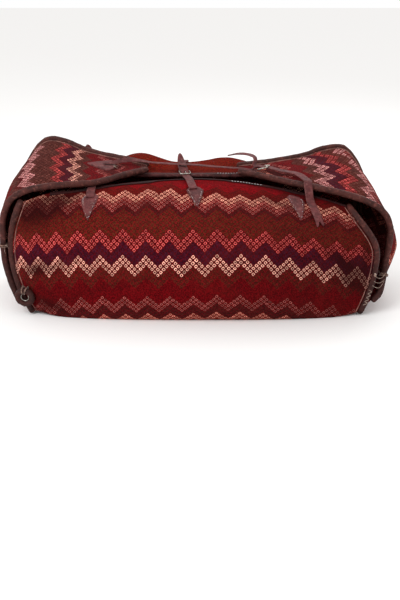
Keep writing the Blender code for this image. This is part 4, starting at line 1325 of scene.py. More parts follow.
def make_middle_strap():
    """It crosses the mouth from the front patch and goes through the buckle on the back chape."""
    slope, start = -0.20, -0.035
    across = vec(1, -slope, 0).normalized()
    heel_y = 0.048
    x = start + slope * heel_y
    heel = vec(x, heel_y, back_top(x, heel_y) + (ON_CLOTH + LEATHER + BAR + GAP))
    toe = heel + vec(-slope, -1, -0.08).normalized() * BUCKLE_LENGTH
    frame_at = buckle_frame(heel, toe, -across)
    make_buckle("middle", frame_at)

    through = in_frame(frame_at, threaded())
    lead = [lifted(on_front, start + slope * (front_mouth(start)[0] - 0.9 * d), d, ON_CLOTH)
            for d in (0.075, 0.055, 0.035, 0.016, 0.004)]
    tail = [through[-1], frame_at @ vec(0.020, 0, STRAP_OVER_HEEL + 3 * GAP),
            vec(x - 0.009, 0.090, heel.z + 0.0165), vec(x - 0.013, 0.112, heel.z + 0.0330)]
    path = resample(lead + through[:1], WIDE_STEP)[:-1] + through[:-1] + resample(tail, STEP)
    place_strap("middle_strap", path, across, STRAP_WIDTH, taper=0.030, holes=(prong_hole(frame_at),))

    upper = ON_CLOTH + LEATHER
    ridge = back_length(x)
    down = [lifted(on_back, x, ridge + d, upper + more) for d, more in (
        (0.118, 0.0004), (0.104, 0.0005), (0.085, 0.0005), (0.060, 0), (0.030, 0), (0.0, 0))]
    run = [lifted(on_back, x + slope * 0.5 * share * ridge, ridge * share, upper)
           for share in (0.75, 0.5, 0.3)]
    make_chape(down + run, in_frame(frame_at, wrap(0.016)), "middle_chape", vec(1, 0, 0), across, STRAP_WIDTH,
               frame_at)


def make_left_strap():
    """It runs under the left flap, and its end pokes out behind the flap's back piping."""
    x = LEFT_PATCH_AT
    front = [lifted(on_front, x, d, ON_CLOTH) for d in (0.058, 0.042, 0.026, 0.012)]
    ridge = back_length(x)
    back = [lifted(on_back, x - lean, ridge * share, ON_CLOTH)
            for share, lean in ((0.05, 0.012), (0.4, 0.018), (0.75, 0.025))]
    y, z = back_ridge(x)
    end = [vec(x - 0.030, y + 0.006, z + 0.0050), vec(x - 0.033, y + 0.020, z + 0.0150),
           vec(x - 0.037, y + 0.027, z + 0.0300), vec(x - 0.040, y + 0.029, z + 0.0470)]
    place_strap("left_strap", resample(front + back + end, STEP), vec(1, 0.1, 0), STRAP_WIDTH, taper=0.010,
                torn=(0, 0.003, -0.002, 0.004, -0.001, 0.002))


# Where the pad's wide end lies on the left flap
PAD_AT = (PAD_INSIDE - HALF_LENGTH, 0.184 * HALF_DEPTH)
PAD_ROWS = 24
PAD_COLUMNS = 12


def make_pad():
    """The arrow-shaped pad on the left flap, where the long strap begins."""
    start, y = PAD_AT

    def place(u, v):
        where = (start - v * PAD_LENGTH, y + PAD_WIDTH * shield(v) * (2 * u - 1))
        return flap_point("left", *where) + vec(0, 0, 2 * GAP)
    points = sample(place, PAD_COLUMNS, PAD_ROWS)
    edge = np.abs(np.linspace(-1, 1, PAD_COLUMNS + 1))
    swell = np.sqrt(1 - np.minimum(edge, 0.999) ** 8)
    thinner = 1 - 0.35 * np.linspace(0, 1, PAD_ROWS + 1)[:, None] ** 3
    thickness = PAD_THICKNESS * (0.55 + 0.45 * swell) * thinner
    outer = points + np.array((0, 0, 1)) * thickness[..., None]
    uv = np.stack([from_edges(travelled(points, 1)), travelled(points, 0)], axis=2)
    made = shell("left_flap_pad_leather", outer, points, uv, "strap_leather")
    place_finished(made, ["left_flap_pad"])
    return [flap_point("left", start + d, y) + vec(0, 0, PAD_THICKNESS + 0.0017)
            for d in (-0.030, -0.016, -0.002)]


def piping_at(side, x):
    """The point at x on the axis of a flap's front piping, on its upper run."""
    place = ENDS[side][0]
    return place(0, turning_point(0.4, 1.0, lambda t: abs(place(0, t).x) > abs(x)))


# The points of the long strap between the flaps, as shares of the bag's half sizes and back height
LONG_STRAP_RUN = ((-0.372, 0.216, 1.0744), (-0.308, 0.236, 1.0804), (-0.254, 0.248, 1.0655),
                  (-0.190, 0.252, 1.0580), (-0.131, 0.248, 1.0521), (-0.082, 0.244, 1.0500),
                  (-0.027, 0.232, 1.0476), (0.054, 0.200, 1.0417), (0.141, 0.156, 1.0387),
                  (0.214, 0.112, 1.0393))

# How far the torn end of the right strap is short of its full length, across its width
RIGHT_STRAP_SPLIT = (0.001, 0.0, 0.004, 0.013, 0.016, 0.006, 0.001, 0.003)

# The long strap shows its broad side beside the pad: how far it turns there, where and over what length
LONG_STRAP_TWIST = (radians(42), 0.055, 0.040)


def make_long_strap(start):
    """It joins the two flaps and carries the right buckle, which the torn right strap goes through."""
    x, y = HALF_LENGTH - RIGHT_BUCKLE_INSIDE, 0.072 * HALF_DEPTH
    heel = vec(x, y, flap_point("right", x, y).z + OUTER_WRAP + 0.0046)
    toe = heel + vec(0.90, -0.38, 0.30).normalized() * BUCKLE_LENGTH
    along = (heel - toe).normalized()
    level = vec(-along.y, along.x, 0).normalized()
    frame_at = buckle_frame(heel, toe, level)
    make_buckle("right", frame_at)

    run = [p + vec(0, 0, LEATHER) for p in start]
    run += [vec(px * HALF_LENGTH, py * HALF_DEPTH, pz * BACK_HEIGHT + LEATHER)
            for px, py, pz in LONG_STRAP_RUN]
    run.append(vec(x - 0.021, y + 0.004, heel.z - INNER_WRAP - 0.0030))
    make_chape(run, in_frame(frame_at, wrap(0.007)), "long_strap", vec(0, 1, 0), -level, LONG_STRAP_WIDTH,
               frame_at, LONG_STRAP_TWIST)
    make_right_strap(frame_at, heel, level)


def make_right_strap(frame_at, heel, level):
    """It hangs torn over the front, comes up over the right flap and goes through the right buckle."""
    through = in_frame(frame_at, threaded())
    x = HALF_LENGTH - RIGHT_STRAP_INSIDE
    hanging = [lifted(on_front, x + lean, d, 0.0025)
               for lean, d in ((0.026, 0.120), (0.019, 0.095), (0.010, 0.065), (0.005, 0.047))]
    piping = piping_at("right", x)
    over = [piping + vec(0, -PIPING_RADIUS - 0.009, 0.003), piping + vec(0, -0.006, PIPING_RADIUS + 0.0045),
            piping + vec(-0.002, 0.006, PIPING_RADIUS + 0.0048)]
    over += [flap_point("right", x - back, y) + vec(0, 0, rise)
             for back, y, rise in ((0.022, -0.032, 0.010), (0.046, -0.014, 0.009), (0.072, -0.001, 0.010))]
    tail = [through[-1], frame_at @ vec(0.012, 0, STRAP_OVER_HEEL + 0.0035)]
    tail += [heel + vec(*step) for step in ((-0.013, 0.024, 0.0230), (-0.031, 0.044, 0.0275),
                                            (-0.058, 0.062, 0.0245), (-0.084, 0.074, 0.0170))]
    lead = resample(hanging + over + through[:1], STEP)[:-1]
    path = lead + through[:-1] + resample(tail, 0.010)
    directions = []
    for i in range(len(lead)):
        ahead = (path[i + 1] - path[max(0, i - 1)]).normalized()
        turn = vec(ahead.y, -ahead.x, 0).normalized()
        directions.append(turn.lerp(-level, max(0, (i - len(lead) + 5) / 5)).normalized())
    directions += [-level] * (len(path) - len(lead))
    place_strap("right_strap", path, directions, STRAP_WIDTH, taper=0.030, holes=(prong_hole(frame_at),),
                split=RIGHT_STRAP_SPLIT)


def make_thong(node, points):
    """A rawhide lace."""
    made = rod(f"{node}_thong", fine_line(points), THONG / 2, "thong", 10, lumps=0.15, lump_size=0.006)
    place_finished(made, [node])


def make_corner_ring():
    """A stuffed leather ring with an open metal ring inside it, tied to the left front corner."""
    radius = CORNER_RING_LEATHER / 2
    loop = CORNER_RING_OUTSIDE / 2 - radius
    corner = body(0, share_at(0, False, 0.052))
    middle = corner + vec(0.009, -PIPING_RADIUS - radius - THONG - 8 * GAP, 0.0015)
    across, up = vec(0.99, -0.14, 0).normalized(), vec(0, -0.08, 1).normalized()
    back = up.cross(across).normalized()

    def on_ring(angle, distance):
        return middle + (up * cos(angle) + across * sin(angle)) * distance
    ring = rod("corner_loop_rolled", [tuple(on_ring(2 * pi * i / 60, loop)) for i in range(60)], radius,
               "edge_leather", 20, closed=True, lumps=0.12, lump_size=0.012)
    place_finished(ring, ["corner_loop"])
    inner = loop - radius - EYELET_WIRE / 2 - 2 * GAP
    free = radians(58)
    turns = [free + (2 * pi - 2 * free) * i / 32 for i in range(33)]
    arc = rod("corner_ring_wire", [tuple(on_ring(turn, inner)) for turn in turns], EYELET_WIRE / 2,
              "buckle_metal", 10)
    place_finished(arc, ["corner_ring"])

    wound = radius + GAP + THONG / 2 + 0.0003
    spread = 0.40
    points = []
    for i in range(21):
        turn = 4 * pi * i / 20 + pi / 2
        angle = spread * (i / 10 - 1)
        radial = up * cos(angle) + across * sin(angle)
        points.append(on_ring(angle, loop) + (back * sin(turn) + radial * cos(turn)) * wound)
    points.insert(0, points[0] + back * 0.0024 + up * 0.009)
    points.append(points[-1] - back * 0.001 + up * 0.009)
    make_thong("corner_loop_tie", points)


# How high up the flaps' front pipings their thongs are tied
TIED = {"left": 0.185, "right": 0.100}


def make_piping_ties():
    """A thong laced twice round the outside of each flap's front piping, with two loose ends."""
    for side, height in TIED.items():
        place = ENDS[side][0]
        t = piping_share(side, height)
        middle = place(0, t)
        along = (place(0, t + 0.01) - place(0, t - 0.01)).normalized()
        cloth = place(0.03, t) - middle
        out = -(cloth - along * cloth.dot(along)).normalized()
        across = along.cross(out)
        radius = PIPING_RADIUS + THONG / 2 + 2 * GAP
        pitch = THONG + 3 * GAP

        def around(angle, distance, up):
            return middle + (out * cos(angle) + across * sin(angle)) * distance + along * up
        points = [around(-2.2, radius * 1.2, -(pitch / 2 + 0.007))]
        for row, way in ((-0.5, 1), (0.5, -1)):
            points += [around(way * (-1.75 + 0.35 * i), radius, pitch * row) for i in range(11)]
        points.append(around(-1.6, radius * 1.6, pitch / 2 + 0.008))
        make_thong(f"{side}_piping_tie", points)


# Materials

class Finish:
    """A material whose nodes are made one call at a time. Numbers and sockets may both be passed."""

    def __init__(self, name, roughness, specular, metallic=0.0, sheen=0.0):
        self.material = bpy.data.materials.new(name)
        self.material.use_nodes = True
        self.tree = self.material.node_tree
        self.shader = self.tree.nodes["Principled BSDF"].inputs
        for label, value in (("Roughness", roughness), ("Metallic", metallic), ("Sheen Weight", sheen),
                             ("Specular IOR Level", specular), ("Sheen Roughness", 0.5)):
            self.set(label, value)

    def set(self, label, value):
        give(self.tree, self.shader[label], value)

    def node(self, kind, inputs=(), output=0, **settings):
        return new_node(self.tree, kind, inputs, **settings).outputs[output]

    def parts(self, value, kind="ShaderNodeSeparateXYZ"):
        """The outputs that hold the parts of a vector or a colour."""
        return new_node(self.tree, kind, {0: value}).outputs

    def math(self, operation, a, b=0.0):
        return self.node("ShaderNodeMath", {0: a, 1: b}, operation=operation)

    def plus(self, a, b):
        return self.math("ADD", a, b)

    def less(self, a, b):
        return self.math("SUBTRACT", a, b)

    def times(self, a, b):
        return self.math("MULTIPLY", a, b)

    def step(self, value, low, high):
        """0 below low, 1 above high, smooth between."""
        return self.node("ShaderNodeMapRange", {"Value": value, "From Min": low, "From Max": high},
                         interpolation_type="SMOOTHSTEP")

    def mix(self, share, a, b, blend="MIX"):
        return self.node("ShaderNodeMix", {0: share, 6: a, 7: b}, 2, data_type="RGBA", blend_type=blend)

    def over(self, under, mask, amount, colour):
        """A colour laid over another one, as far as the mask and the amount say."""
        return self.mix(self.times(mask, amount), under, colour)

    def shaded(self, colour, by):
        return self.mix(1.0, colour, self.node("ShaderNodeCombineColor", {0: by, 1: by, 2: by}), "MULTIPLY")

    def bands(self, value, stops):
        """One colour after another, each from its own place on."""
        made = new_node(self.tree, "ShaderNodeValToRGB", {0: value})
        made.color_ramp.interpolation = "CONSTANT"
        marks = made.color_ramp.elements
        marks.remove(marks[1])
        marks[0].position, marks[0].color = stops[0]
        for place, colour in stops[1:]:
            marks.new(place).color = colour
        return made.outputs[0]

    def place(self):
        return self.node("ShaderNodeTexCoord", output="Object")

    def speckle(self, size, detail, rough=0.55):
        return self.node("ShaderNodeTexNoise", {"Vector": self.place(), "Scale": 1 / size, "Detail": detail,
                                                "Roughness": rough})

    def cells(self, where, size):
        """How far each point is from the edge of its cell."""
        return self.node("ShaderNodeTexVoronoi", {"Vector": where, "Scale": 1 / size, "Randomness": 1.0},
                         feature="DISTANCE_TO_EDGE")

    def ribs(self, where, direction, scale):
        return self.node("ShaderNodeTexWave", {"Vector": where, "Scale": scale, "Distortion": 1.5,
                                               "Detail": 1.0}, wave_type="BANDS", bands_direction=direction)

    def bump(self, height, depth, strength):
        self.set("Normal", self.node("ShaderNodeBump", {"Height": height, "Distance": depth,
                                                        "Strength": strength}))

    def colour(self, value):
        self.set("Base Color", value)
        return self.material


def rgb(values, share=1.0):
    return (values[0] * share, values[1] * share, values[2] * share, 1)


# Each yarn: the colour of the lozenges' outlines and of the ground between them
YARNS = {
    "top red": ((0.160, 0.002, 0.004), (0.205, 0.001, 0.004)),
    "red": ((0.095, 0.002, 0.003), (0.120, 0.001, 0.003)),
    "back red": ((0.085, 0.024, 0.006), (0.170, 0.004, 0.004)),
    "top brown": ((0.060, 0.008, 0.004), (0.135, 0.002, 0.003)),
    "brown": ((0.034, 0.014, 0.006), (0.130, 0.004, 0.005)),
    "flap brown": ((0.125, 0.040, 0.030), (0.055, 0.008, 0.006)),
    "olive": ((0.034, 0.019, 0.006), (0.135, 0.006, 0.006)),
    "maroon": ((0.034, 0.012, 0.008), (0.090, 0.003, 0.005)),
    "purple": ((0.030, 0.007, 0.018), (0.066, 0.002, 0.006)),
    "mauve": ((0.350, 0.080, 0.072), (0.095, 0.003, 0.003)),
    "pale mauve": ((0.800, 0.360, 0.340), (0.115, 0.010, 0.013)),
    "rose": ((0.500, 0.125, 0.105), (0.125, 0.004, 0.004)),
    "pink": ((0.620, 0.085, 0.080), (0.085, 0.002, 0.003)),
    "salmon": ((0.850, 0.280, 0.200), (0.140, 0.005, 0.005)),
    "bright salmon": ((1.000, 0.400, 0.285), (0.110, 0.004, 0.005)),
    "pale": ((1.000, 0.460, 0.350), (0.075, 0.002, 0.003))}

# The bands of each cloth's pattern, 32 rows of lozenges in a repeat: how many rows, and their yarn
BANDS = {
    "body": ((3, "top red"), (2, "top brown"), (2, "bright salmon"), (1, "rose"), (1, "mauve"), (1, "maroon"),
             (4, "olive"), (2, "pink"), (2, "purple"), (2, "pale"), (2, "brown"), (3, "red"), (2, "mauve"),
             (2, "maroon"), (2, "salmon"), (1, "back red")),
    "left": ((3, "red"), (2, "flap brown"), (1, "maroon"), (3, "pale mauve"), (5, "flap brown"), (2, "pink"),
             (2, "purple"), (2, "pale"), (2, "flap brown"), (3, "red"), (2, "mauve"), (3, "maroon"),
             (1, "mauve"), (1, "brown")),
    "right": ((3, "red"), (3, "flap brown"), (2, "maroon"), (2, "mauve"), (2, "pale mauve"),
              (2, "flap brown"), (2, "pink"), (2, "purple"), (2, "pale mauve"), (2, "flap brown"),
              (3, "red"), (2, "mauve"), (2, "maroon"), (2, "salmon"), (1, "brown"))}
BAND_REPEAT = 32
FIRST_BAND = -18

# The rows past which a cloth's first and last bands go on plain, and half a zigzag in columns
PLAIN_BEYOND = (-16, 77)
WAVE_COLUMNS = 4

# How lively the yarns' colours are from one lozenge to the next: the spread and the least
BODY_LIVELY, END_LIVELY = (0.60, 0.70), (0.95, 0.50)

# Colours laid over the wool: faded, soiled, a near-black red for painted shade (also the eyes of the pale
# lozenges) and fuzzy
FADED = rgb((0.140, 0.014, 0.009))
SOILED = rgb((0.045, 0.006, 0.006))
EYE_AND_SHADE_RED = rgb((0.018, 0.002, 0.002))
FUZZY = rgb((0.30, 0.055, 0.045))


def woven_wool(name, weave, bands, sheen, lively, plain_ends):
    """Flat-woven wool in zigzag bands of small lozenges, read from the cloth's own columns and rows.

    With plain ends the first and the last band go on to the cloth's edges.
    """
    f = Finish(name, roughness=0.95, specular=0.04, sheen=sheen)
    f.set("Sheen Tint", (1.0, 0.72, 0.70, 1))
    lay = f.node("ShaderNodeUVMap", uv_map="lay")
    column, row = (f.plus(f.parts(lay)[i], f.times(f.less(f.speckle(size, 1.5), 0.5), weave.unevenness))
                   for i, size in enumerate((0.020, 0.031)))
    rising, falling = f.times(f.plus(column, row), 0.5), f.times(f.less(column, row), 0.5)
    near_rising, near_falling = f.math("ROUND", rising), f.math("ROUND", falling)
    cell_column, cell_row = f.plus(near_rising, near_falling), f.less(near_rising, near_falling)
    band = f.times(f.less(cell_row, f.math("PINGPONG", cell_column, WAVE_COLUMNS)), 0.5)
    if plain_ends:
        band = f.math("MINIMUM", f.math("MAXIMUM", band, PLAIN_BEYOND[0]), PLAIN_BEYOND[1])
    turn = f.math("FRACT", f.math("DIVIDE", f.plus(band, 0.5 - FIRST_BAND), BAND_REPEAT))
    stops, start = [], 0
    for count, yarn in bands:
        stops.append((start / BAND_REPEAT, YARNS[yarn]))
        start += count
    outline, ground = (f.bands(turn, [(place, rgb(yarn[i])) for place, yarn in stops]) for i in (0, 1))

    aside, beside_it = (f.math("ABSOLUTE", f.less(rising, near_rising)),
                        f.math("ABSOLUTE", f.less(falling, near_falling)))
    square = f.math("MAXIMUM", aside, beside_it)
    round_one = f.math("SQRT", f.plus(f.times(aside, aside), f.times(beside_it, beside_it)))
    reach = f.plus(f.times(square, 0.6), f.times(round_one, 0.4))
    eye, lozenge = f.step(reach, 0.215, 0.150), f.step(reach, 0.375, 0.325)
    yarn = f.node("ShaderNodeTexWhiteNoise", {
        "Vector": f.node("ShaderNodeCombineXYZ", {0: near_rising, 1: near_falling})}, noise_dimensions="2D")
    outline = f.shaded(outline, f.plus(f.times(yarn, lively[0]), lively[1]))
    pale_one = f.step(f.parts(outline, "ShaderNodeSeparateColor")[0], 0.14, 0.32)
    inside = f.mix(eye, outline, f.mix(pale_one, ground, EYE_AND_SHADE_RED))
    cloth = f.mix(lozenge, ground, inside)

    threads = f.plus(f.times(f.ribs(lay, "X", weave.ribs / 2), 0.5),
                     f.times(f.ribs(lay, "Y", weave.ribs), 0.5))
    grainy = f.step(f.speckle(0.0036, 1.0), 0.34, 0.66)
    cloth = f.shaded(cloth, f.plus(f.times(threads, 0.25), f.plus(f.times(grainy, 0.80), 0.46)))
    fuzz = f.speckle(0.0022, 2.0)
    # The third mask, read from the mesh, is painted shade: in the folds, towards the right end and in patches
    for mask, amount, colour in ((f.step(f.speckle(0.11, 3.0), 0.45, 0.75), 0.22, FADED),
                                 (f.step(f.speckle(0.060, 4.0), 0.52, 0.80), 0.35, SOILED),
                                 (f.node("ShaderNodeAttribute", (), 2, attribute_name="soil"), 0.82, EYE_AND_SHADE_RED),
                                 (f.step(fuzz, 0.58, 0.75), 0.12, FUZZY)):
        cloth = f.over(cloth, mask, amount, colour)
    raised = f.less(lozenge, f.times(eye, 0.8))
    f.bump(f.plus(f.times(raised, 0.5), f.plus(f.times(threads, 0.35), f.times(fuzz, 0.4))), 0.0012, 0.7)
    return f.colour(cloth)


def worn_leather(name, base, dark, worn, grain=0.0016, roughness=0.62, wear=0.5, edge=None, shaded_low=False):
    """Old leather: mottled, grained and cracked, paler where it rubs. edge is a strap's width.

    The leather may be painted darker near the floor, as shade.
    """
    f = Finish(name, roughness=roughness, specular=0.20)
    cloud, patchy = f.speckle(0.030, 4.0, 0.6), f.speckle(0.009, 3.0, 0.6)
    grains = f.cells(f.place(), grain)
    wander = f.node("ShaderNodeTexNoise", {"Vector": f.place(), "Scale": 120.0, "Detail": 2.0}, 1)
    cracks = f.cells(f.mix(0.02, f.place(), wander), grain * 7)
    skin = f.mix(f.step(cloud, 0.35, 0.65), rgb(dark), rgb(base))
    skin = f.over(skin, f.step(patchy, 0.50, 0.72), wear, rgb(worn))
    skin = f.over(skin, f.step(cracks, 0.05, 0.0), 0.55, rgb(dark, 0.45))
    if edge:
        across = f.parts(f.node("ShaderNodeUVMap", uv_map="lay"))[0]
        from_edge = f.math("MINIMUM", across, f.less(edge, across))
        rubbed = f.times(f.step(from_edge, 0.0020, 0.0), f.step(patchy, 0.40, 0.65))
        skin = f.over(skin, rubbed, 0.55, rgb(worn, 1.1))
    # Painted shade: darker towards the floor
    if shaded_low:
        skin = f.over(skin, f.step(f.parts(f.place())[2], 0.22, 0.08), 0.65, rgb(dark, 0.6))
    height = f.plus(f.times(f.step(grains, 0.0, 0.35), 0.35),
                    f.plus(f.times(f.step(cracks, 0.0, 0.10), 0.8), f.times(patchy, 0.9)))
    f.bump(height, 0.0007, 0.6)
    f.set("Roughness", f.plus(f.times(cloud, 0.25), roughness - 0.12))
    return f.colour(skin)


def dull_metal(name):
    f = Finish(name, roughness=0.35, specular=0.5, metallic=1.0)
    tarnish = f.step(f.speckle(0.004, 4.0, 0.65), 0.45, 0.62)
    f.set("Roughness", f.plus(f.times(tarnish, 0.35), 0.25))
    f.bump(f.speckle(0.0015, 3.0), 0.0002, 0.5)
    return f.colour(f.mix(tarnish, rgb((0.55, 0.53, 0.48)), rgb((0.16, 0.12, 0.085))))


def thread_finish(name, colour, dark):
    f = Finish(name, roughness=0.85, specular=0.2, sheen=0.2)
    f.bump(f.speckle(0.0008, 2.0), 0.0002, 0.6)
    return f.colour(f.mix(f.step(f.speckle(0.006, 3.0), 0.35, 0.7), rgb(dark), rgb(colour)))


# The leathers whose colours are settings: how dark their hollows are, and the colour where they rub
LEATHERS = {"edge": (0.45, (0.200, 0.062, 0.048)), "binding": (0.4, (0.070, 0.014, 0.014)),
            "strap": (0.5, (0.215, 0.082, 0.076))}
THREADS = {"pale_thread": ((0.560, 0.430, 0.360), (0.260, 0.160, 0.120)),
           "thong": ((0.230, 0.135, 0.100), (0.085, 0.040, 0.030))}


def finish(name):
    """The named material, made when it is first asked for."""
    label = f"{name}_finish"
    known = bpy.data.materials.get(label)
    if known:
        return known
    scene = bpy.context.scene
    kind, family = name.split("_")[0], name.split("_")[-1]
    if family == "wool":
        sheen, lively = (0.004, BODY_LIVELY) if kind == "body" else (0.03, END_LIVELY)
        return woven_wool(label, scene.bedding_bag_weave, BANDS[kind], sheen, lively, kind == "body")
    if kind in LEATHERS:
        leather = scene.bedding_bag_leather
        hollows, worn = LEATHERS[kind]
        base = tuple(getattr(leather, f"{kind}_colour"))
        more = {"edge": {"wear": leather.wear, "shaded_low": True},
                "binding": {"wear": leather.wear * 0.6, "roughness": 0.75},
                "strap": {"wear": leather.wear, "edge": STRAP_WIDTH}}[kind]
        return worn_leather(label, base, [c * hollows for c in base], worn, **more)
    if name == "back_leather":
        return worn_leather(label, (0.090, 0.019, 0.019), (0.030, 0.006, 0.006), (0.180, 0.060, 0.058),
                            wear=0.7)
    # The welt is real folded leather; its pale colour is a painted highlight beside the rolled edges.
    if name == "welt":
        return worn_leather(label, (0.300, 0.130, 0.105), (0.110, 0.040, 0.032), (0.420, 0.230, 0.195),
                            grain=0.001)
    if name == "thread":
        colour = tuple(scene.bedding_bag_thread.colour)
        return thread_finish(label, colour, [c * 0.45 for c in colour])
    if name in THREADS:
        return thread_finish(label, *THREADS[name])
    return dull_metal(label)


# Stitches and loose threads

def thread_path(start, way, length, droop, seed):
    """A loose end of yarn or leather that wavers and sinks."""
    chance = random.Random(seed)
    point, heading = vec(*start), vec(*way).normalized()
    points = [point.copy()]
    for _ in range(8):
        heading = heading + vec(chance.uniform(-0.30, 0.30), chance.uniform(-0.30, 0.30),
                                chance.uniform(-0.25, 0.25) - droop)
        heading.normalize()
        point = point + heading * length / 8
        points.append(point.copy())
    return points


def loose_threads(name, starts, thickness, seed):
    """Several loose threads as one piece. Each start is a point, a direction, a length and a droop."""
    made = []
    for i, (point, way, length, droop) in enumerate(starts):
        path = fine_line(thread_path(point, way, length, droop, seed * 100 + i))
        taper = thickness / 2 * np.linspace(1.0, 0.45, len(path))
        made.append(rod(f"{name}_{i}", path, taper, "pale_thread", 6))
    return place_finished(joined(name, made), ())


FRAYED_ENDS = 5
FRAYED_LENGTH = 0.011
FRAYED_DROOP = 0.15


def frayed(points, out, seed):
    """Starts for threads that come off a line at random places, outwards and along it."""
    chance = random.Random(seed)
    starts = []
    for _ in range(FRAYED_ENDS):
        i = chance.randrange(1, len(points) - 1)
        along = unit(points[i + 1] - points[i - 1]) * chance.uniform(-1.0, 1.0)
        starts.append((points[i], out[i] * chance.uniform(0.15, 0.5) + along,
                       FRAYED_LENGTH * chance.uniform(0.5, 1.3), FRAYED_DROOP))
    return starts


def make_corner_threads():
    """The loose lacing at the right corner, the wisps at the left knot and the frayed ends beside them."""
    made = []

    def thread(name, points, thickness, sides=6):
        made.append(rod(name, points, thickness / 2, "pale_thread", sides))

    def on_edge(height, x, out):
        """A point in front of the right side binding."""
        return body(1, share_at(1, False, height)) + vec(x, -PIPING_RADIUS - out, 0)
    place = ENDS["right"][0]
    down = vec(0.1, -0.6, -0.8).normalized()
    for i, (height, other, rise) in enumerate((
            (0.112, 0.108, 0.010), (0.098, 0.092, 0.007), (0.086, 0.090, 0.012))):
        near = on_edge(height, 0.002, 0)
        far = place(0, piping_share("right", other)) + vec(0.002, -PIPING_RADIUS - 0.0006, 0)
        arch = [near.lerp(far, k / 8) + down * rise * sin(pi * k / 8) for k in range(9)]
        thread(f"right_lacing_{i}", fine_line(arch), 0.0011)
    knot = on_edge(0.118, 0.001, 0.001)
    for i, step in enumerate((0.0, 0.0045)):
        bead = [knot + vec(0.0012 * k, 0, -step - 0.0012 * k) for k in (-1, 0, 1)]
        thread(f"right_knot_{i}", [tuple(p) for p in bead], 0.0044, 8)
    zigzag = [on_edge(0.074 - 0.0052 * i, 0.0048 if i % 2 else -0.0042, 0.0006) for i in range(9)]
    thread("right_zigzag", fine_line(zigzag), 0.0012)
    place_finished(joined("right_corner_threads", made), ())

    knot = ENDS["left"][0](0, piping_share("left", TIED["left"]))
    starts = [(knot + vec(-0.006, -PIPING_RADIUS, 0.004), (-0.5, -0.2, 0.6), 0.016, 0.30),
              (knot + vec(-0.008, -0.005, -0.002), (-1.0, -0.1, -0.3), 0.014, 0.15),
              (knot + vec(-0.007, -0.006, -0.005), (-0.8, -0.2, -0.9), 0.018, 0.10),
              (knot + vec(0.004, -PIPING_RADIUS, -0.004), (0.4, -0.4, -0.8), 0.020, 0.20),
              (knot + vec(0.006, -PIPING_RADIUS, 0.001), (0.8, -0.3, 0.1), 0.016, 0.25)]
    loose_threads("left_knot_threads", starts, 0.0010, 5)


def make_pad_threads():
    """The torn stitches at the wide end of the pad on the left flap."""
    start, y = PAD_AT
    starts = []
    for i, across in enumerate((-0.021, -0.014, -0.006, 0.004, 0.012, 0.019)):
        point = flap_point("left", start - 0.002, y + across) + vec(0, 0, PAD_THICKNESS + 0.001)
        starts.append((point, (0.9, -0.5 if i % 2 else 0.4, -0.05), 0.015 + 0.002 * (i % 3), 0.12))
    loose_threads("pad_threads", starts, 0.0010, 9)


# The stage

CAMERA_PLACE = (0.0, -2.235, 0.916)
CAMERA_TILT = 67.0
CAMERA_LENS = 50.0
SENSOR = 36.0

FLOOR_REACH = 12.0
FLOOR_HEIGHT = -0.0005


def make_floor(colour):
    mesh = bpy.data.meshes.new("floor")
    corners = [(x * FLOOR_REACH, y * FLOOR_REACH, FLOOR_HEIGHT)
               for x, y in ((-1, -1), (1, -1), (1, 1), (-1, 1))]
    mesh.from_pydata(corners, [], [(0, 1, 2, 3)])
    f = Finish("floor", roughness=1.0, specular=0.0)
    mesh.materials.append(f.colour(rgb(colour)))
    linked("floor", mesh)


def make_world(strength):
    """Even pale light that the camera and mirrors see as white."""
    world = bpy.data.worlds.new("studio")
    bpy.context.scene.world = world
    world.use_nodes = True
    tree = world.node_tree
    tree.nodes.clear()
    path = new_node(tree, "ShaderNodeLightPath").outputs
    seen = new_node(tree, "ShaderNodeMath", {0: path["Is Camera Ray"], 1: path["Is Glossy Ray"]},
                    operation="MAXIMUM")
    light = new_node(tree, "ShaderNodeBackground", {"Color": (1.0, 0.985, 0.97, 1), "Strength": strength})
    white = new_node(tree, "ShaderNodeBackground", {"Color": (1, 1, 1, 1)})
    chosen = new_node(tree, "ShaderNodeMixShader", {0: seen.outputs[0], 1: light.outputs[0],
                                                    2: white.outputs[0]})
    new_node(tree, "ShaderNodeOutputWorld", {0: chosen.outputs[0]})


def make_lamp(name, place, target, size, power):
    data = bpy.data.lights.new(name, "AREA")
    data.shape = "RECTANGLE"
    data.size, data.size_y = size
    data.energy = power
    lamp = linked(name, data)
    lamp.location = place
    lamp.rotation_mode = "QUATERNION"
    lamp.rotation_quaternion = (Vector(target) - Vector(place)).to_track_quat("-Z", "Y")


def make_camera():
    data = bpy.data.cameras.new("camera")
    data.lens = CAMERA_LENS
    data.sensor_width = SENSOR
    camera = linked("camera", data)
    camera.location = CAMERA_PLACE
    camera.rotation_euler = (radians(CAMERA_TILT), 0, 0)
    bpy.context.scene.camera = camera


# Settings, operators and the panel

class BagWeave(bpy.types.PropertyGroup):
    period: FloatProperty(
        name="Period", description="Distance from one point of the zigzag to the next across the front",
        default=0.0606, unit="LENGTH")
    widening: FloatProperty(
        name="Widening", description="How much wider each period is than the one to its left",
        default=0.00025, unit="LENGTH")
    column_shift: FloatProperty(
        name="Column shift", description="How far left of the middle a point of the zigzag lies",
        default=0.0175, unit="LENGTH")
    unevenness: FloatProperty(
        name="Unevenness", description="How far the weave wanders, in columns", default=0.7)
    ribs: FloatProperty(name="Ribs", description="Threads in a lozenge", default=3.0)


class BagLeather(bpy.types.PropertyGroup):
    edge_colour: FloatVectorProperty(
        name="Edge colour", description="Rolled leather along the edges", default=(0.078, 0.018, 0.014),
        size=3, subtype="COLOR")
    binding_colour: FloatVectorProperty(
        name="Binding colour", description="Leather folded over the mouth", default=(0.036, 0.004, 0.004),
        size=3, subtype="COLOR")
    strap_colour: FloatVectorProperty(
        name="Strap colour", description="Straps and patches", default=(0.145, 0.034, 0.035),
        size=3, subtype="COLOR")
    wear: FloatProperty(name="Wear", description="How much of the leather is rubbed pale", default=0.6)


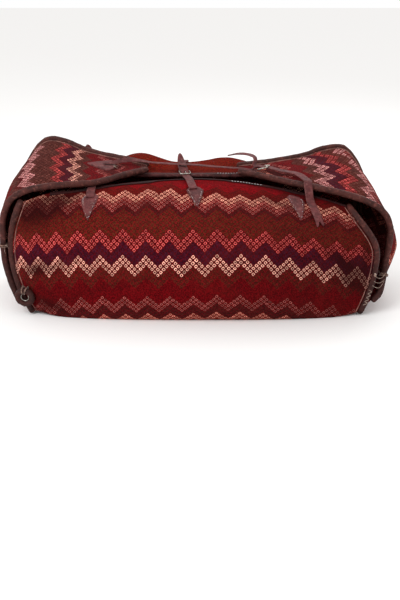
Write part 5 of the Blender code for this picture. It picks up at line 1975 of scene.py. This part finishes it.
class BagThread(bpy.types.PropertyGroup):
    colour: FloatVectorProperty(
        name="Colour", description="Stitches and loose threads", default=(0.40, 0.30, 0.26),
        size=3, subtype="COLOR")
    step: FloatProperty(
        name="Step", description="Distance between stitches", default=STITCH_INPUTS["Step"], unit="LENGTH")
    length: FloatProperty(
        name="Length", description="Length of a stitch", default=STITCH_INPUTS["Length"], unit="LENGTH")
    thickness: FloatProperty(
        name="Thickness", description="Thickness of the thread", default=STITCH_INPUTS["Thickness"],
        unit="LENGTH")


class BagStage(bpy.types.PropertyGroup):
    floor_colour: FloatVectorProperty(
        name="Floor colour", description="Colour of the floor", default=(0.95, 0.95, 0.95),
        size=3, subtype="COLOR")
    sky: FloatProperty(name="Sky", description="Strength of the even light", default=0.95)
    lamp: FloatProperty(
        name="Lamp", description="Power of the large lamp above the front", default=45.0, unit="POWER")


class BAG_OT_cloths(bpy.types.Operator):
    """Makes the long body cloth and the two end cloths"""
    bl_idname = "bedding_bag.cloths"
    bl_label = "Woven cloths"

    def execute(self, context):
        cloths = {"body": make_body_cloth(context.scene.bedding_bag_weave)}
        cloths.update({side: make_end_cloth(side) for side in SIDES})
        return {"FINISHED"}


class BAG_OT_rolled_edges(bpy.types.Operator):
    """Makes the rolled leather along the sides and the flaps"""
    bl_idname = "bedding_bag.rolled_edges"
    bl_label = "Rolled edges"

    def execute(self, context):
        for side in SIDES:
            make_side_binding(side)
            make_gusset(side)
            for edge in ("front", "back"):
                make_flap_piping(side, edge)
        make_welts()
        return {"FINISHED"}


class BAG_OT_mouth_bindings(bpy.types.Operator):
    """Folds leather over the two edges of the mouth and stitches it"""
    bl_idname = "bedding_bag.mouth_bindings"
    bl_label = "Mouth bindings"

    def execute(self, context):
        rows = [make_mouth_binding(which) for which in ("front", "back")]
        thread = context.scene.bedding_bag_thread
        stitches("mouth_stitches", rows, "thread", {
            "Step": thread.step, "Length": thread.length, "Thickness": thread.thickness, "Kept": 0.85})
        return {"FINISHED"}


class BAG_OT_patches(bpy.types.Operator):
    """Sews the arrow-shaped patches to the front and the back"""
    bl_idname = "bedding_bag.patches"
    bl_label = "Leather patches"

    def execute(self, context):
        rows, starts = [], []
        for name, (x, start, surface, lean) in PATCHES.items():
            place = on_front if surface == "front" else on_back
            start += 0 if surface == "front" else back_length(x)
            line, out = make_patch(name, x, start, place, lean)
            starts += frayed(line, out, len(rows))
            rows.append((line, out))
        thin = context.scene.bedding_bag_thread.thickness * 0.6
        stitches("patch_stitches", rows, "thong", {
            "Step": 0.0048, "Length": 0.0026, "Thickness": thin, "Unevenness": 0.7, "Kept": 0.35})
        loose_threads("patch_threads", starts, 0.0008, 2)
        return {"FINISHED"}


class BAG_OT_straps(bpy.types.Operator):
    """Makes the straps, the pad and the two buckles"""
    bl_idname = "bedding_bag.straps"
    bl_label = "Straps and buckles"

    def execute(self, context):
        make_middle_strap()
        make_left_strap()
        make_long_strap(make_pad())
        return {"FINISHED"}


class BAG_OT_corner_ring(bpy.types.Operator):
    """Makes the leather ring at the lower left corner, and the laces on the pipings"""
    bl_idname = "bedding_bag.corner_ring"
    bl_label = "Corner ring and laces"

    def execute(self, context):
        make_corner_ring()
        make_piping_ties()
        make_corner_threads()
        make_pad_threads()
        return {"FINISHED"}


class BAG_OT_stage(bpy.types.Operator):
    """Sets the floor, the light and the camera"""
    bl_idname = "bedding_bag.stage"
    bl_label = "Stage"

    def execute(self, context):
        stage = context.scene.bedding_bag_stage
        make_floor(tuple(stage.floor_colour))
        make_world(stage.sky)
        make_lamp("front_lamp", (-1.7, -1.9, 2.4), (-0.1, 0, 0.15), (1.8, 1.4), stage.lamp)
        make_lamp("back_lamp", (1.0, 1.6, 2.2), (0, 0, 0.2), (1.6, 1.2), stage.lamp * 0.35)
        make_camera()
        context.scene.view_settings.view_transform = "Standard"
        return {"FINISHED"}


class BAG_PT_pieces(bpy.types.Panel):
    """Lists the steps that make the bag"""
    bl_idname = "BAG_PT_pieces"
    bl_label = "Bedding bag"
    bl_space_type = "VIEW_3D"
    bl_region_type = "UI"
    bl_category = "Bedding bag"

    def draw(self, context):
        for name in GROUPS:
            box = self.layout.box()
            box.label(text=name.split("_")[-1].capitalize())
            settings = getattr(context.scene, name)
            for label in settings.__annotations__:
                box.prop(settings, label)
        for operator in OPERATORS:
            self.layout.operator(operator.bl_idname)


GROUPS = {"bedding_bag_weave": BagWeave, "bedding_bag_leather": BagLeather, "bedding_bag_thread": BagThread,
          "bedding_bag_stage": BagStage}
OPERATORS = (BAG_OT_cloths, BAG_OT_rolled_edges, BAG_OT_mouth_bindings, BAG_OT_patches, BAG_OT_straps,
             BAG_OT_corner_ring, BAG_OT_stage)


def register():
    for kind in (*GROUPS.values(), *OPERATORS, BAG_PT_pieces):
        bpy.utils.register_class(kind)
    for name, kind in GROUPS.items():
        setattr(bpy.types.Scene, name, PointerProperty(type=kind))


def unregister():
    for name in GROUPS:
        delattr(bpy.types.Scene, name)
    for kind in reversed((*GROUPS.values(), *OPERATORS, BAG_PT_pieces)):
        bpy.utils.unregister_class(kind)


def main():
    register()
    bpy.ops.bedding_bag.cloths()
    bpy.ops.bedding_bag.rolled_edges()
    bpy.ops.bedding_bag.mouth_bindings()
    bpy.ops.bedding_bag.patches()
    bpy.ops.bedding_bag.straps()
    bpy.ops.bedding_bag.corner_ring()
    bpy.ops.bedding_bag.stage()


if __name__ == "__main__":
    main()
